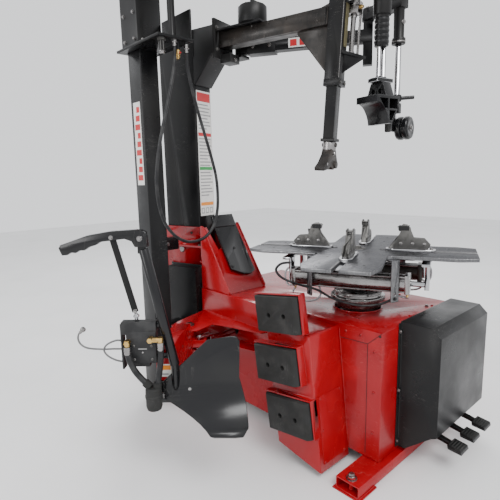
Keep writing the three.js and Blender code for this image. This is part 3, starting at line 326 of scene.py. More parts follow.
def smooth_path(points, step):
    """A curve through the points, as short straight steps of about that length in millimetres."""
    pts = [Vector(p) for p in points]
    if len(pts) < 3:
        return pts
    padded = [pts[0] * 2 - pts[1], *pts, pts[-1] * 2 - pts[-2]]
    path = [pts[0]]
    for i in range(1, len(padded) - 2):
        a, b, c, d = padded[i - 1:i + 3]
        count = max(1, round((c - b).length / step))
        for k in range(1, count + 1):
            t = k / count
            path.append(0.5 * (2 * b + (c - a) * t + (2 * a - 5 * b + 4 * c - d) * t * t
                               + (3 * b - a - 3 * c + d) * t ** 3))
    return path


class Piece:
    """Shapes in a place's millimetres that become one object riding on a body."""

    def __init__(self, name, body, place):
        self.name = name
        self.body = body
        self.place = place
        self.points = []
        self.faces = []
        self.finish_of_face = []
        self.materials = []

    def add(self, points, faces, material):
        """Takes in one shape's points and faces."""
        if material not in self.materials:
            self.materials.append(material)
        index = self.materials.index(material)
        first = len(self.points)
        self.points.extend(self.place @ (Vector(p) * MM) for p in points)
        self.faces.extend([first + i for i in face] for face in faces)
        self.finish_of_face.extend([index] * len(faces))
        return self

    def box(self, low, high, material, edge=0.6):
        """A block with small chamfers on all its edges."""
        low, high = Vector(low), Vector(high)
        size = high - low
        edge = min(edge, *(c * 0.3 for c in size))
        corners, faces = [], []
        for i in range(8):
            sign = Vector((1 if i & 1 else -1, 1 if i & 2 else -1, 1 if i & 4 else -1))
            corner = Vector(high[k] if sign[k] > 0 else low[k] for k in range(3))
            for k in range(3):
                cut = Vector(0 if n == k else sign[n] * edge for n in range(3))
                corners.append(corner - cut)
        for k in range(3):
            a, b = (k + 1) % 3, (k + 2) % 3
            for side in (0, 1):
                ring = [side << k, side << k | 1 << a, side << k | 1 << a | 1 << b, side << k | 1 << b]
                ring = ring if side else ring[::-1]
                faces.append([3 * i + k for i in ring])
            for j in range(4):
                i = (1 << a if j & 1 else 0) | (1 << b if j & 2 else 0)
                pair = [3 * i + a, 3 * i + b, 3 * (i | 1 << k) + b, 3 * (i | 1 << k) + a]
                faces.append(pair if (j in (0, 3)) else pair[::-1])
        for i in range(8):
            turn = bin(i).count("1") % 2
            faces.append([3 * i, 3 * i + 1, 3 * i + 2] if turn else [3 * i + 2, 3 * i + 1, 3 * i])
        return self.add(corners, faces, material)

    def lathe(self, start, direction, profile, material, sides=20):
        """A turned shape: pairs of radius and height along the direction from its start."""
        start, along = Vector(start), Vector(direction).normalized()
        u, v = basis(along)
        points, rows = [], []
        for radius, height in profile:
            center = start + along * height
            if radius < 1e-6:
                rows.append([len(points)])
                points.append(center)
                continue
            rows.append(list(range(len(points), len(points) + sides)))
            for i in range(sides):
                angle = 2 * math.pi * i / sides
                points.append(center + (u * math.cos(angle) + v * math.sin(angle)) * radius)
        faces = []
        for low, high in zip(rows, rows[1:]):
            for i in range(sides):
                k = (i + 1) % sides
                if len(low) == 1:
                    faces.append([low[0], high[k], high[i]])
                elif len(high) == 1:
                    faces.append([low[i], low[k], high[0]])
                else:
                    faces.append([low[i], low[k], high[k], high[i]])
        if len(rows[0]) > 1:
            faces.append(rows[0][::-1])
        if len(rows[-1]) > 1:
            faces.append(rows[-1])
        return self.add(points, faces, material)

    def tube(self, points, radius, material, sides=10, step=6.0, ripple=0.0):
        """A round tube through the points; ripple makes it a weld bead."""
        path = smooth_path(points, step)
        side = basis(path[1] - path[0])[0]
        ring_points, faces = [], []
        for i, p in enumerate(path):
            along = (path[min(i + 1, len(path) - 1)] - path[max(i - 1, 0)]).normalized()
            side = (side - along * side.dot(along)).normalized()
            up = along.cross(side)
            size = radius * (1 - ripple * (i % 2))
            for k in range(sides):
                angle = 2 * math.pi * k / sides
                ring_points.append(p + (side * math.cos(angle) + up * math.sin(angle)) * size)
        for i in range(len(path) - 1):
            for k in range(sides):
                n = (k + 1) % sides
                a, b = i * sides, (i + 1) * sides
                faces.append([a + k, a + n, b + n, b + k])
        faces.append(list(range(sides))[::-1])
        faces.append([len(ring_points) - sides + k for k in range(sides)])
        return self.add(ring_points, faces, material)

    def bolt(self, start, direction, size, material=None):
        """A hex bolt head on its washer, plain steel by default; size is the thread's diameter."""
        material = material or BRIGHT
        base = size * 0.22
        head = size * 0.92
        washer = [(size * 1.15, 0), (size * 1.15, base * 0.8), (size * 1.1, base)]
        hexagon = [(head, base), (head, base + size * 0.5), (head * 0.86, base + size * 0.66)]
        crown = [(size * 0.62, base), (size * 0.62, base + size * 0.68)]
        self.lathe(start, direction, washer, material)
        self.lathe(start, direction, hexagon, material, 6)
        return self.lathe(start, direction, crown, material, 12)

    def button(self, start, direction, size, material=None):
        """A button-head screw with its socket, painted red by default."""
        material = material or RED
        dome = [(size, 0), (size * 0.94, size * 0.3), (size * 0.7, size * 0.52),
                (size * 0.36, size * 0.6)]
        self.lathe(start, direction, dome, material, 18)
        top = Vector(start) + Vector(direction).normalized() * size * 0.6
        return self.lathe(top, direction, [(size * 0.34, 0), (size * 0.34, size * 0.02)], SHADOW, 6)

    def weld(self, start, end, radius, material):
        """A straight weld bead between two points."""
        length = (Vector(end) - Vector(start)).length
        middle = (Vector(start) + Vector(end)) / 2
        step = length / max(4, round(length / (radius * 1.1)))
        return self.tube([start, middle, end], radius, material, 8, step, 0.22)

    def make(self, sharp=32):
        """The finished object; edges that turn by more than `sharp` degrees look sharp."""
        mesh = bpy.data.meshes.new(self.name)
        mesh.from_pydata([tuple(p) for p in self.points], [], self.faces)
        for material in self.materials:
            mesh.materials.append(material)
        for polygon, index in zip(mesh.polygons, self.finish_of_face):
            polygon.material_index = index
        mesh.shade_smooth()
        mesh.set_sharp_from_angle(angle=math.radians(sharp))
        mesh.update()
        obj = bpy.data.objects.new(self.name, mesh)
        bpy.context.scene.collection.objects.link(obj)
        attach(obj, self.body)
        return obj


# ---- CAD nodes: finish and softened edges ----
FINISHES = {
    "cabinet_shell": RED, "pads_box": RED, "front_foot": RED, "rear_foot": RED, "tower_base": RED,
    "breaker_arm": RED, "wheel_pad_1": RUBBER, "wheel_pad_2": RUBBER, "wheel_pad_3": RUBBER,
    "guard_pad": GLOSS, "press_pad": GLOSS, "roller": GLOSS, "turntable_plate": PLATE,
    "turntable_hub": BRIGHT, "clamp_cylinder_1": BRIGHT, "clamp_cylinder_2": MILL, "lift_cylinder": BRIGHT,
    "mount_head": MILL, "jaw_1": DARK, "jaw_2": DARK, "jaw_3": DARK, "jaw_4": DARK, "jaw_slide_1": CHROME,
    "jaw_slide_2": CHROME, "jaw_slide_3": CHROME, "jaw_slide_4": CHROME, "press_rods": CHROME,
    "tilt_rod": CHROME, "breaker_rod": CHROME, "valve_spool": CHROME, "gear_motor": IRON,
    "breaker_cylinder": IRON, "tilt_cylinder": MILL, "valve_block": IRON, "breaker_blade": GLOSS,
    "arm_tube": MILL, "roller_stem": CHROME, "grip_lever": GLOSS, "blade_handle": GLOSS,
}  # the rest are BLACK
EDGES = {
    "turntable_plate": 1.6, "cabinet_shell": 1.6, "pads_box": 1.8, "tower_base": 1.6, "front_cover": 2.4,
    "column_tube": 5.0, "assist_column": 5.0, "arm_tube": 3.0, "breaker_blade": 0.8, "guard_pad": 2.2,
}  # the rest are 1.0 mm


def dress_nodes():
    """Gives each CAD node its finish and rounds its edges."""
    for name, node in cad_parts.items():
        node.data.materials.clear()
        node.data.materials.append(FINISHES.get(name, BLACK))
        node.data.shade_smooth()
        weld = node.modifiers.new("weld", "WELD")
        weld.merge_threshold = 0.00002
        edge = node.modifiers.new("edge", "BEVEL")
        edge.width = EDGES.get(name, 1.0) * MM
        edge.segments = 2
        edge.limit_method = "ANGLE"
        edge.angle_limit = math.radians(34)
        edge.use_clamp_overlap = False
        edge.harden_normals = True


# ---- hoses ----
HOSE_STEP = 5.0
ASSIST_HOSE = (
    (-402, 545, 1561), (-402, 545, 1530), (-400, 545, 1480), (-384, 545, 1405), (-361, 545, 1325),
    (-328, 545, 1225), (-297, 545, 1130), (-276, 545, 1050), (-270, 545, 970), (-277, 545, 895),
    (-304, 545, 830), (-348, 545, 792), (-400, 545, 780), (-455, 545, 788), (-508, 545, 822),
    (-548, 545, 880), (-568, 545, 955), (-572, 545, 1035), (-562, 545, 1115), (-545, 545, 1190),
    (-523, 545, 1270), (-500, 545, 1345), (-480, 545, 1415), (-464, 547, 1475), (-456, 549, 1520),
    (-454, 550, 1577),
)
BREAKER_HOSE_1 = (
    (-105, -58, 511), (-104, -59, 493), (-99, -61, 475), (-92, -62, 458), (-83, -62, 440),
    (-70, -62, 422), (-55, -62, 405), (-43, -62, 393),
)
BREAKER_HOSE_2 = (
    (2, -58, 527), (2, -59, 505), (0, -60, 480), (-3, -61, 455), (-7, -62, 430), (-11, -62, 410),
    (-14, -62, 393),
)
AIR_LINE = (
    (-131, -20, 500), (-145, -20, 500), (-168, -20, 500), (-195, -20, 499), (-222, -20, 500),
    (-244, -20, 502), (-262, -20, 508), (-275, -20, 520), (-280, -20, 536), (-276, -20, 552),
    (-264, -20, 564),
)
# node, body, place, route, radius in mm, material, what the far end is, how it lies
HOSES = (
    ("assist_hose", "carriage", MACHINE, ASSIST_HOSE, 6.5, HOSE, "object", "hanging"),
    ("breaker_hose_1", "blade", BLADE, BREAKER_HOSE_1, 10.0, HOSE, "object", "loose"),
    ("breaker_hose_2", "blade", BLADE, BREAKER_HOSE_2, 10.0, HOSE, "object", "loose"),
    ("air_line", "blade", BLADE, AIR_LINE, 3.0, GREY_HOSE, "fitting", "loose"),
)


def add_hoses():
    """The free hoses, each in place of its CAD node."""
    coupling = add_air_line_end()
    for node, body, place, route, radius, material, far_end, lay in HOSES:
        obj = Piece(node + "_visual", body, place).tube(route, radius, material, 12, HOSE_STEP).make(60)
        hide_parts(node)


# ---- cabinet, pads box and feet ----
CABINET_TOP, CABINET_LEFT = 520, -220
CABINET_SEAMS = (
    ((-74, 467), (-130, 469), (-190, 471)),
    ((-190, 471), (-218, 496), (-243, 519)),
    ((-190, 471), (-190, 270), (-189, 60)),
)


def add_cabinet_details():
    """Flange seams, screws and weld beads of the cabinet's left side and top."""
    p = Piece("cabinet_details", "chassis", MACHINE)
    for seam in CABINET_SEAMS:
        p.tube([(CABINET_LEFT - 0.6, y, z) for y, z in seam], 0.9, SHADOW, 6)
    for y, z in ((-162, 496), (-100, 496), (-217, 448), (-217, 300), (-217, 150)):
        p.button((CABINET_LEFT, y, z), (-1, 0, 0), 5.5)
    p.lathe((CABINET_LEFT, -237, 508), (-1, 0, 0), [(4.2, -1), (4.2, 0.3)], SHADOW, 16)
    for x, y in ((-150, -215), (20, -215), (200, -215), (262, -40), (262, 180), (262, 420), (40, 600)):
        p.button((x, y, CABINET_TOP), (0, 0, 1), 5.5)
    p.bolt((178, -204, CABINET_TOP), (0, 0, 1), 7)
    p.tube(circle(96, CABINET_TOP + 0.8, 24), 2.2, RED, 8, 5, 0.15)
    p.make()


def add_pads_box_details():
    """The access panel, weld beads and the screws of the box that carries the wheel pads."""
    p = Piece("pads_box_details", "chassis", MACHINE)
    p.weld((-221, -72, 500), (-221, -118, 60), 2.4, RED)
    p.weld((-382, -66, 509), (-222, -66, 509), 2.2, RED)
    p.weld((-382, 134, 509), (-222, 134, 509), 2.2, RED)
    p.make()
    lean = math.atan2(52, 487)
    panel = placed(MACHINE, 0, -121, 21) @ Matrix.Rotation(-lean, 4, "X")
    q = Piece("access_panel", "chassis", panel)
    q.box((-366, -1.6, 26), (-240, -0.2, 272), RED, 0.5)
    for x, z in ((-358, 34), (-248, 34), (-358, 264), (-248, 264), (-358, 150), (-248, 150)):
        q.button((x, -1.6, z), (0, -1, 0), 4.6)
    q.make()


def add_wheel_pad_details():
    """The bolts deep in each wheel pad's two holes."""
    for index, (y, z) in enumerate(PAD_ROWS):
        place = placed(MACHINE, 0, y, z) @ Matrix.Rotation(math.radians(PAD_TURN), 4, "X")
        p = Piece(f"wheel_pad_{index + 1}_bolts", "chassis", place)
        for spot in (-42, 30):
            p.bolt((-405.9, spot, -4), (-1, 0, 0), 6.4, DARK)
        p.make()


def add_foot_details():
    """An anchor bolt on each foot and the welds that hold the tubes to their plates."""
    p = Piece("foot_details", "chassis", MACHINE)
    for low, high in ((-268, -178), (830, 920)):
        middle = (low + high) / 2
        p.bolt((-352, middle, 53.5), (0, 0, 1), 11.5)
        p.lathe((-352, middle, 45), (0, 0, 1), [(19, 0), (19, 2.2), (18, 2.8)], BRIGHT, 24)
        for side in (low - 1, high + 1):
            p.weld((-378, side, 6), (-284, side, 6), 2.4, RED)
    p.make()


def add_cover_details():
    """Flange bolts of the black front cover and the ribs of the pedals' treads."""
    p = Piece("front_cover_details", "chassis", MACHINE)
    for z in (501, 282, 84):
        p.bolt((-108, -249.6, z), (0, -1, 0), 6.5)
    p.make()
    treads = (("pedal_1", -10), ("pedal_2", 95), ("pedal_3", 200))
    for name, x in treads:
        q = Piece(name + "_ribs", name, MACHINE)
        for i in range(5):
            y = -443 + 9 * i
            z = 100.5 + (y + 448) * 6 / 46
            q.box((x - 27, y - 2, z - 0.8), (x + 27, y + 2, z + 2.2), RUBBER)
        q.make()


# ---- tower base and tilting column ----
CHEEK_LEFT = -71


def add_tower_base_details():
    """Holes, screws and pivot bolt of the tower base's left cheek, and the welds of its gusset."""
    p = Piece("tower_base_details", "chassis", COLUMN)
    for y, z, radius in ((47, 782, 7), (-9, 785, 6), (-25, 679, 5)):
        p.lathe((CHEEK_LEFT, y, z), (-1, 0, 0), [(radius, -1), (radius, 0.35)], SHADOW, 18)
    for y, z in ((-4, 642), (196, 790), (196, 560)):
        p.button((CHEEK_LEFT, y, z), (-1, 0, 0), 6)
    p.bolt((-75, -3, 722.5), (0, 0, 1), 7)
    p.bolt((-75, 176, 722.5), (0, 0, 1), 7)
    for side, x in ((-1, -79), (1, 79)):
        p.lathe((x, 105, 700), (side, 0, 0), [(15, -1), (15, 2), (12.5, 4), (0, 4.4)], BRIGHT, 24)
    p.weld((-72, -24, 711.5), (-72, 196, 711.5), 2.0, RED)
    for x in (-71.6, 78.5):
        p.weld((x, -26, 521.5), (x, 214, 521.5), 2.0, RED)
    p.make()
    q = Piece("valve_cover_screws", "chassis", COLUMN)
    for y in (-13, 176):
        for z in (301, 619, 460):
            q.button((-75, y, z), (-1, 0, 0), 4.4, DARK)
    q.make()
    g = Piece("gusset_details", "chassis", MACHINE)
    for x in (-246, -30):
        g.weld((x, 514, 521.5), (x, 560, 521.5), 2.0, RED)
    g.make()


def add_guard_pad_details():
    """Socket screws of the guard pad on the tower's slope."""
    slope = math.atan2(812 - 520, 700 - 512)
    place = placed(MACHINE, -128, 504.5, 526.5) @ Matrix.Rotation(slope, 4, "X")
    p = Piece("guard_pad_screws", "chassis", place)
    for x, y in ((-52, 316), (54, 328), (-54, 122), (54, 98), (0, 212)):
        p.lathe((x, y, 11.5), (0, 0, 1), [(7, 0), (7, 0.9), (5.6, 1.2)], GLOSS, 18)
        p.lathe((x, y, 12.6), (0, 0, 1), [(3.4, 0), (3.4, 0.3)], SHADOW, 6)
    p.make()


def add_warning_panel():
    """A tall plain safety panel on the column: a red header, colour bands, grey bars and frames."""
    front = -0.2
    p = Piece("warning_panel", "column", COLUMN)
    p.box((-50, front - 0.9, 863), (54, front, 1446), PAPER, 0.2)
    ink = front - 0.9
    bands = ((1398, 1438, PRINT_RED), (1082, 1097, PRINT_GREEN),
             (912, 928, PRINT_ORANGE), (1240, 1256, PRINT_RED))
    for low, high, color in bands:
        p.box((-46, ink - 0.25, low), (50, ink + 0.2, high), color, 0.1)
    lengths = (88, 80, 92, 70, 84, 90, 60, 86, 76)
    for top, count in ((1384, 8), (1228, 9), (1070, 8)):
        for i in range(count):
            z = top - 15.5 * i
            length = lengths[(i + count) % len(lengths)]
            p.box((-42, ink - 0.2, z - 3), (length - 42, ink + 0.2, z + 3), PRINT_GREY, 0.1)
    for x in (-44, -12, 20):
        p.box((x, ink - 0.2, 874), (x + 24, ink + 0.2, 902), PRINT_GREY, 0.1)
        p.box((x + 5, ink - 0.3, 879), (x + 19, ink + 0.2, 897), PAPER, 0.1)
    p.make()


def add_column_details():
    """Welds and bolts of the tilting column and of the head that carries its beam."""
    p = Piece("column_details", "column", COLUMN)
    for x in (-60.5, 60.5):
        p.weld((x, -2, 1468), (x, -108, 1586), 2.2, BLACK)
        p.weld((x, -0.2, 1588), (x, -0.2, 1700), 2.4, BLACK)
    for x in (-50, 50):
        for z in (1600, 1690):
            p.bolt((x, -130, z), (0, -1, 0), 8, DARK)
    p.bolt((9, -184, 1560), (0, -1, 0), 8)
    p.lathe((109, -147, 1684), (0, 0, 1), [(17, 0), (17, 3), (9, 3.6), (9, 9), (7, 10)], BRIGHT, 20)
    p.make()
    q = Piece("lock_pot_fitting", "column", COLUMN)
    q.lathe((34, -285, 1779), (1, 0, 0), [(8.5, 0), (8.5, 9), (7, 11), (4.5, 12), (4.5, 20)], BRASS, 16)
    for angle in range(0, 360, 60):
        x, y = 50 * math.cos(math.radians(angle)), 50 * math.sin(math.radians(angle)) - 285
        q.button((x, y, 1757), (0, 0, 1), 4.5, DARK)
    q.make()
    a = Piece("arm_welds", "arm", COLUMN)
    for x in (-6.5, 6.5):
        a.weld((x, -508, 1610.6), (x, -604, 1610.6), 2.2, MILL)
    a.weld((-32.6, -632, 1612), (-32.6, -636, 1672), 2.4, BLACK)
    a.weld((32.6, -632, 1612), (32.6, -636, 1672), 2.4, BLACK)
    for y in (-300, -380, -460):
        a.lathe((-32, y, 1668), (-1, 0, 0), [(5, -1), (4.4, 0.8), (0, 1.4)], MILL, 12)
    a.make()


def add_tool_details():
    """Clamp screws of the leaning slide, its lifting cylinder's fittings and the mount head's bolts."""
    p = Piece("slide_head_details", "arm", TOOL)
    for x in (-22, 22):
        p.bolt((x, -35, -202), (0, -1, 0), 5.5, DARK)
    # a weld bead up the slide's left edge; its bright steel colour is a painted highlight along the bead
    p.weld((-30, -30.6, -186), (-30, -30.6, 92), 1.3, BRIGHT)
    p.weld((-28, -38, -98.5), (100, -83, -98.5), 1.8, BLACK)
    p.lathe((54, -40, -87.6), (0, 0, 1), [(13, 0), (13, 8), (11, 10)], BRIGHT, 24)
    p.lathe((54, -40, 44), (0, 0, 1), [(13, 0), (13, 10), (12, 14)], BRIGHT, 24)
    p.lathe((54, -64, 80), (0, -1, 0), [(8, -2), (8, 5), (5, 7), (5, 13)], BRASS, 14)
    p.box((-6, -33, -70), (22, -30.2, 84), OLIVE, 0.4)
    p.make()
    q = Piece("mount_head_details", "tool", placed(TOOL, 0, 0, 0, -90))
    q.box((-29, -29, -424), (29, 29, -412), BLACK, 2)
    q.lathe((0, 0, -425), (0, 0, -1), [(26, 0), (27, 2), (27, 30), (25, 33)], BRIGHT, 26)
    for side in (-1, 1):
        q.bolt((side * 20, 0, -470), (side, 0, 0), 7)
        q.lathe((side * 20, -54, -512), (side, 0, 0), [(6, -1), (6, 0.8), (4.6, 1.2)], BRIGHT, 16)
        q.lathe((side * 20, 22, -506), (side, 0, 0), [(6, -1), (6, 0.8), (4.6, 1.2)], BRIGHT, 16)
    q.make()


# ---- turntable ----
TABLE_TOP = 755
TABLE_HOSE = (
    (-81, -203, 606), (-84, -178, 588), (-95, -147, 574), (-136, -106, 571), (-181, -65, 585),
    (-222, -27, 608), (-257, 4, 636), (-308, 51, 658), (-349, 88, 683), (-365, 103, 712),
    (-350, 92, 734), (-325, 68, 739),
)


def add_turntable_details():
    """Turned grooves, hub ring and bolts of the turntable, its air hose, and its arms' details."""
    p = Piece("turntable_details", "turntable", TABLE)
    for radius, z in ((106, 560), (106, 567), (92.5, 581), (92.5, 587)):
        p.tube(circle(radius, z, 36), 0.9, SHADOW, 6, 12)
    p.lathe((0, 0, 590), (0, 0, 1), [(60, 0), (60, 3), (56, 4), (36, 4)], GLOSS, 40)
    for angle in range(0, 360, 60):
        x, y = 98 * math.cos(math.radians(angle + 12)), 98 * math.sin(math.radians(angle + 12))
        p.button((x, y, 572), (0, 0, 1), 4.6, BRIGHT)
    p.bolt((0, 0, TABLE_TOP), (0, 0, 1), 13, DARK)
    p.lathe((0, 0, TABLE_TOP - 0.2), (0, 0, 1), [(30, 0), (30, 0.8), (29, 1)], BRIGHT, 32)
    h = Piece("table_air_hose", "turntable", MACHINE)
    h.tube(TABLE_HOSE, 4.5, HOSE)
    h.make()
    for index in range(4):
        add_table_arm_details(index)
    p.make()
    for index in range(4):
        add_jaw_details(index)
    for index in (1, 3):
        add_clamp_details(index)


def add_table_arm_details(index):
    """Bores and thin bright steel strips that paint the highlights of the slide's edges on one arm of the
    table, and the bolts of the guard beside it.
    """
    quarter = placed(TABLE, 0, 0, 0, 90 * index)
    q = Piece(f"table_arm_{index + 1}_details", "turntable", quarter)
    for y in (-74, 74):
        for x in (330, 210):
            q.lathe((x, y, TABLE_TOP), (0, 0, 1), [(4, 0), (4, 0.4)], SHADOW, 14)
    # thin bright steel strips along both edges of the slide: painted highlights on the edges
    for y in (-16, 16):
        q.box((88, y - 1.2, TABLE_TOP - 0.1), (419, y + 1.2, TABLE_TOP + 0.7), BRIGHT, 0.3)
    q.make()
    guard = placed(quarter, 0, 0, 0, 45)
    g = Piece(f"hanging_guard_{index + 1}_bolts", "turntable", guard)
    g.bolt((221, 0, 604), (1, 0, 0), 6.5, GLOSS)
    g.bolt((196, 0, 738), (0, 0, -1), 5, DARK)
    g.make()


def add_jaw_details(index):
    """Rivets on a jaw's side plates and the bolts that hold it to its slide."""
    place = placed(TABLE, 0, 0, 0, 90 * index)
    p = Piece(f"jaw_{index + 1}_rivets", f"jaw_{index + 1}", place)
    rivet = [(6.2, -1), (6.2, 0.4), (4.6, 0.9), (0, 1.1)]
    for side in (-1, 1):
        for x in (160, 202, 244):
            p.lathe((x, side * 13, 783), (0, side, 0), rivet, BRIGHT, 18)
        p.box((150, side * 13.4 - 0.5, 833), (188, side * 13.4 + 0.5, 850), GLOSS, 0.4)
    for x in (127, 268):
        p.bolt((x, 0, 763), (0, 0, 1), 6)
    p.make()


CLAMP_OFFSET = 108
# The front loop, the loop below the barrel, and the one round its outer end.
CLAMP_HOSES = (
    [(-196, 108, 604), (-198, 100, 597), (-190, 90, 594), (-170, 86, 596), (-152, 92, 604),
     (-146, 104, 618)],
    [(228, 108, 604), (234, 122, 588), (218, 140, 572), (180, 148, 564), (142, 144, 568),
     (122, 130, 582), (124, 114, 602), (134, 108, 622)],
    [(236, 108, 676), (254, 109, 684), (268, 110, 664), (268, 110, 632), (254, 109, 612),
     (236, 108, 622)])


def add_clamp_details(index):
    """Tie rods, hose elbows and the looping air hoses of one clamping cylinder."""
    place = placed(TABLE, 0, 0, 0, 90 * index)
    p = Piece(f"clamp_{index + 1}_details", f"jaw_{index + 1}", place)
    for y in (-27, 27):
        for z in (-27, 27):
            p.lathe((-190, CLAMP_OFFSET + y, 652 + z), (1, 0, 0), [(3, 0), (3, 410)], BRIGHT, 10)
    for x in (-196, 228):
        p.lathe((x, CLAMP_OFFSET, 618), (0, 0, -1), [(6, 0), (6, 8), (4.5, 9), (4.5, 16)], BRASS, 12)
    for points in CLAMP_HOSES:
        p.tube(points, 4, CLEAR)
    p.make()


# ---- bead breaker ----
def add_breaker_arm_details():
    """Pivot caps of the breaker arm, its sticker, and the cap on the chassis below its pivot."""
    b = Piece("breaker_arm_details", "breaker_arm", BREAKER_ARM)
    for x in (150, 300):
        for y in (-30, 30):
            side = 1 if y > 0 else -1
            b.lathe((x, y, 440), (0, side, 0), [(6, -1), (6, 0.4)], SHADOW, 16)
    b.lathe((420.4, 0, 496), (0, 0, 1), [(20, 4), (20, 7), (13, 8), (13, 14), (11, 16)], BRIGHT, 20)
    b.box((456.4, -22, 396), (457.2, 22, 440), PAPER, 0.2)
    b.box((457, -18, 420), (457.6, 18, 436), PRINT_ORANGE, 0.1)
    b.box((457, -18, 402), (457.6, 10, 408), PRINT_GREY, 0.1)
    b.make()
    c = Piece("breaker_pivot_caps", "chassis", MACHINE)
    cap = [(22, -7.5), (22, -3.5), (14.5, -2.8), (14.5, 1), (12, 2)]
    c.lathe((-445, 555, 424), (0, 0, 1), cap, BRIGHT, 24)
    c.make()


def add_blade_details():
    """Bolts that hold the blade, and the weld along its carrier."""
    d = Piece("blade_details", "blade", BLADE)
    for x, z in ((60, 356), (96, 344), (84, 366)):
        d.bolt((x, -30, z), (0, -1, 0), 7)
    d.weld((-24, -23.4, 373), (108, -23.4, 373), 2.0, BLACK)
    d.make()


def add_valve_details():
    """Brass elbows, screws, pressure port and looping grey hose of the breaker's air valve."""
    e = Piece("valve_details", "blade", BLADE)
    for x, z in ((-105, 534), (-30, 544)):
        e.lathe((x, -46, z), (0, -1, 0), [(9.6, 0), (9.6, 6), (9.2, 7), (9.2, 21)], BRASS, 6)
    e.lathe((-105, -58, 543), (0, 0, -1), [(9.4, 0), (9.4, 8), (8.8, 10), (8.8, 20)], BRASS, 12)
    e.lathe((-22, -58, 544), (1, 0, 0), [(9.2, 0), (9.2, 14), (8.8, 16), (8.8, 32)], BRASS, 12)
    e.lathe((2, -58, 553), (0, 0, -1), [(9.4, 0), (9.4, 16), (8.8, 18)], BRASS, 12)
    e.lathe((-105, -58, 522), (0, 0, -1), [(11.8, 0), (11.8, 24), (10.6, 26)], BRIGHT, 16)
    e.lathe((2, -58, 536), (0, 0, -1), [(11.8, 0), (11.8, 24), (10.6, 26)], BRIGHT, 16)
    for x in (-88, -30):
        for z in (474, 520):
            e.button((x, -46, z), (0, -1, 0), 4.6, DARK)
    e.lathe((-60, -46, 498), (0, -1, 0), [(3, 0), (3, 1)], BRIGHT, 12)
    e.box((-74, -46.6, 508), (-46, -45.8, 511), PRINT_GREY, 0.1)
    e.lathe((-112, -20, 500), (-1, 0, 0), [(6, 0), (6, 12), (4.4, 14), (4.4, 21)], BRIGHT, 12)
    e.tube([(-129, -34, 534), (-150, -34, 534), (-180, -32, 520), (-192, -31, 500), (-180, -31, 480),
            (-152, -33, 466), (-129, -34, 462)], 3, GREY_HOSE)
    e.make()


def add_hose_boot():
    """The rubber boot where both hoses run into the breaker's cylinder."""
    f = Piece("hose_boot", "blade", BLADE)
    body = [(16, 0), (23, 4), (26, 14), (26.6, 60), (25.6, 74), (22, 78)]
    f.lathe((-28, -62, 309), (0, 0, 1), body, RUBBER, 24)
    f.lathe((-28, -62, 352), (0, 0, 1), [(26.6, 0), (28, 2), (28, 9), (26.6, 11)], RUBBER, 24)
    f.lathe((-54, -62, 404), (0.68, 0, -0.73), [(12.6, 0), (13.4, 2), (13.4, 22)], RUBBER, 18)
    f.lathe((-13.6, -62, 402), (-0.14, 0, -1), [(12.6, 0), (13.4, 2), (13.4, 20)], RUBBER, 18)
    f.lathe((-6, -50, 352), (1, 0, 0), [(10, 0), (10, 5), (8, 6), (8, 10)], BRIGHT, 6)
    f.make()


def add_grip_details():
    """Bolts of the grip lever's pivots and of the link bar's end."""
    g = Piece("grip_lever_details", "grip_lever", BLADE)
    for side, y in ((-1, -42), (1, -18)):
        g.bolt((-49, y, 866), (0, side, 0), 7.5)
        g.bolt((-138, y, 871), (0, side, 0), 6)
    g.make()
    h = Piece("link_bar_bolt", "link_bar", BLADE)
    h.bolt((-80, -33, 631), (0, -1, 0), 6)
    h.make()


# ---- assist tower ----
def add_assist_column_details():
    """Label, foot bolts and welds of the assist tower's column."""
    p = Piece("assist_column_details", "chassis", MACHINE)
    p.box((-500.9, 765, 1020), (-500, 822, 1372), PAPER, 0.2)
    for i in range(9):
        z = 1040 + 36 * i
        p.box((-501.3, 772, z), (-500.5, 815 - 9 * (i % 3), z + 24), PRINT_RED, 0.1)
    p.box((-500.5, 738.8, 60), (-415, 740, 62), BLACK, 0.2)
    for x in (-506, -409):
        for y in (720, 850):
            p.bolt((x, y, 58), (0, 0, 1), 8)
    p.weld((-508, 731.4, 251), (-407, 731.4, 251), 2.2, BLACK)
    p.weld((-508.6, 732, 251), (-508.6, 853, 251), 2.2, BLACK)
    for z in (330, 740):
        p.bolt((-380, 796, z), (0, -1, 0), 8)
    p.make()


def add_carriage_details():
    """Bolts of the assist tower's carriage, and the fittings below it."""
    c = Piece("carriage_details", "carriage", MACHINE)
    for y in (752, 832):
        for z in (1618, 1720, 1822):
            c.bolt((-514, y, z), (-1, 0, 0), 7)
    for x in (-492, -424):
        c.bolt((x, 724, 1612), (0, -1, 0), 6)
        c.bolt((x, 724, 1836), (0, -1, 0), 6)
    c.bolt((-505, 560, 1531), (0, 0, -1), 12)
    c.lathe((-505, 560, 1578), (0, 0, -1), [(17, 0), (17, 8), (11.5, 10), (11.5, 44)], DARK, 6)
    nipple = [(10, 0), (10, 16), (8, 18), (8, 26), (6, 27), (6, 34)]
    c.lathe((-433, 560, 1545), (0, 0, -1), nipple, BRASS, 14)
    c.box((-436, 540, 1531), (-430, 556, 1535), PRINT_RED, 0.8)
    c.lathe((-402, 545, 1562), (0, 0, -1), [(10.5, -4), (10.5, 10), (8.5, 12), (8.5, 26)], BRIGHT, 14)
    c.lathe((-454, 550, 1578), (0, 0, -1), [(10.5, 0), (10.5, 8), (8.5, 10), (8.5, 24)], BRIGHT, 14)
    c.lathe((-457, 560, 1860), (0, 0, 1), [(24, -4), (24, 3), (15, 4), (15, 8), (13, 9)], BRIGHT, 24)
    c.weld((-513, 722, 1589.5), (-402, 722, 1589.5), 2.2, BLACK)
    c.make()


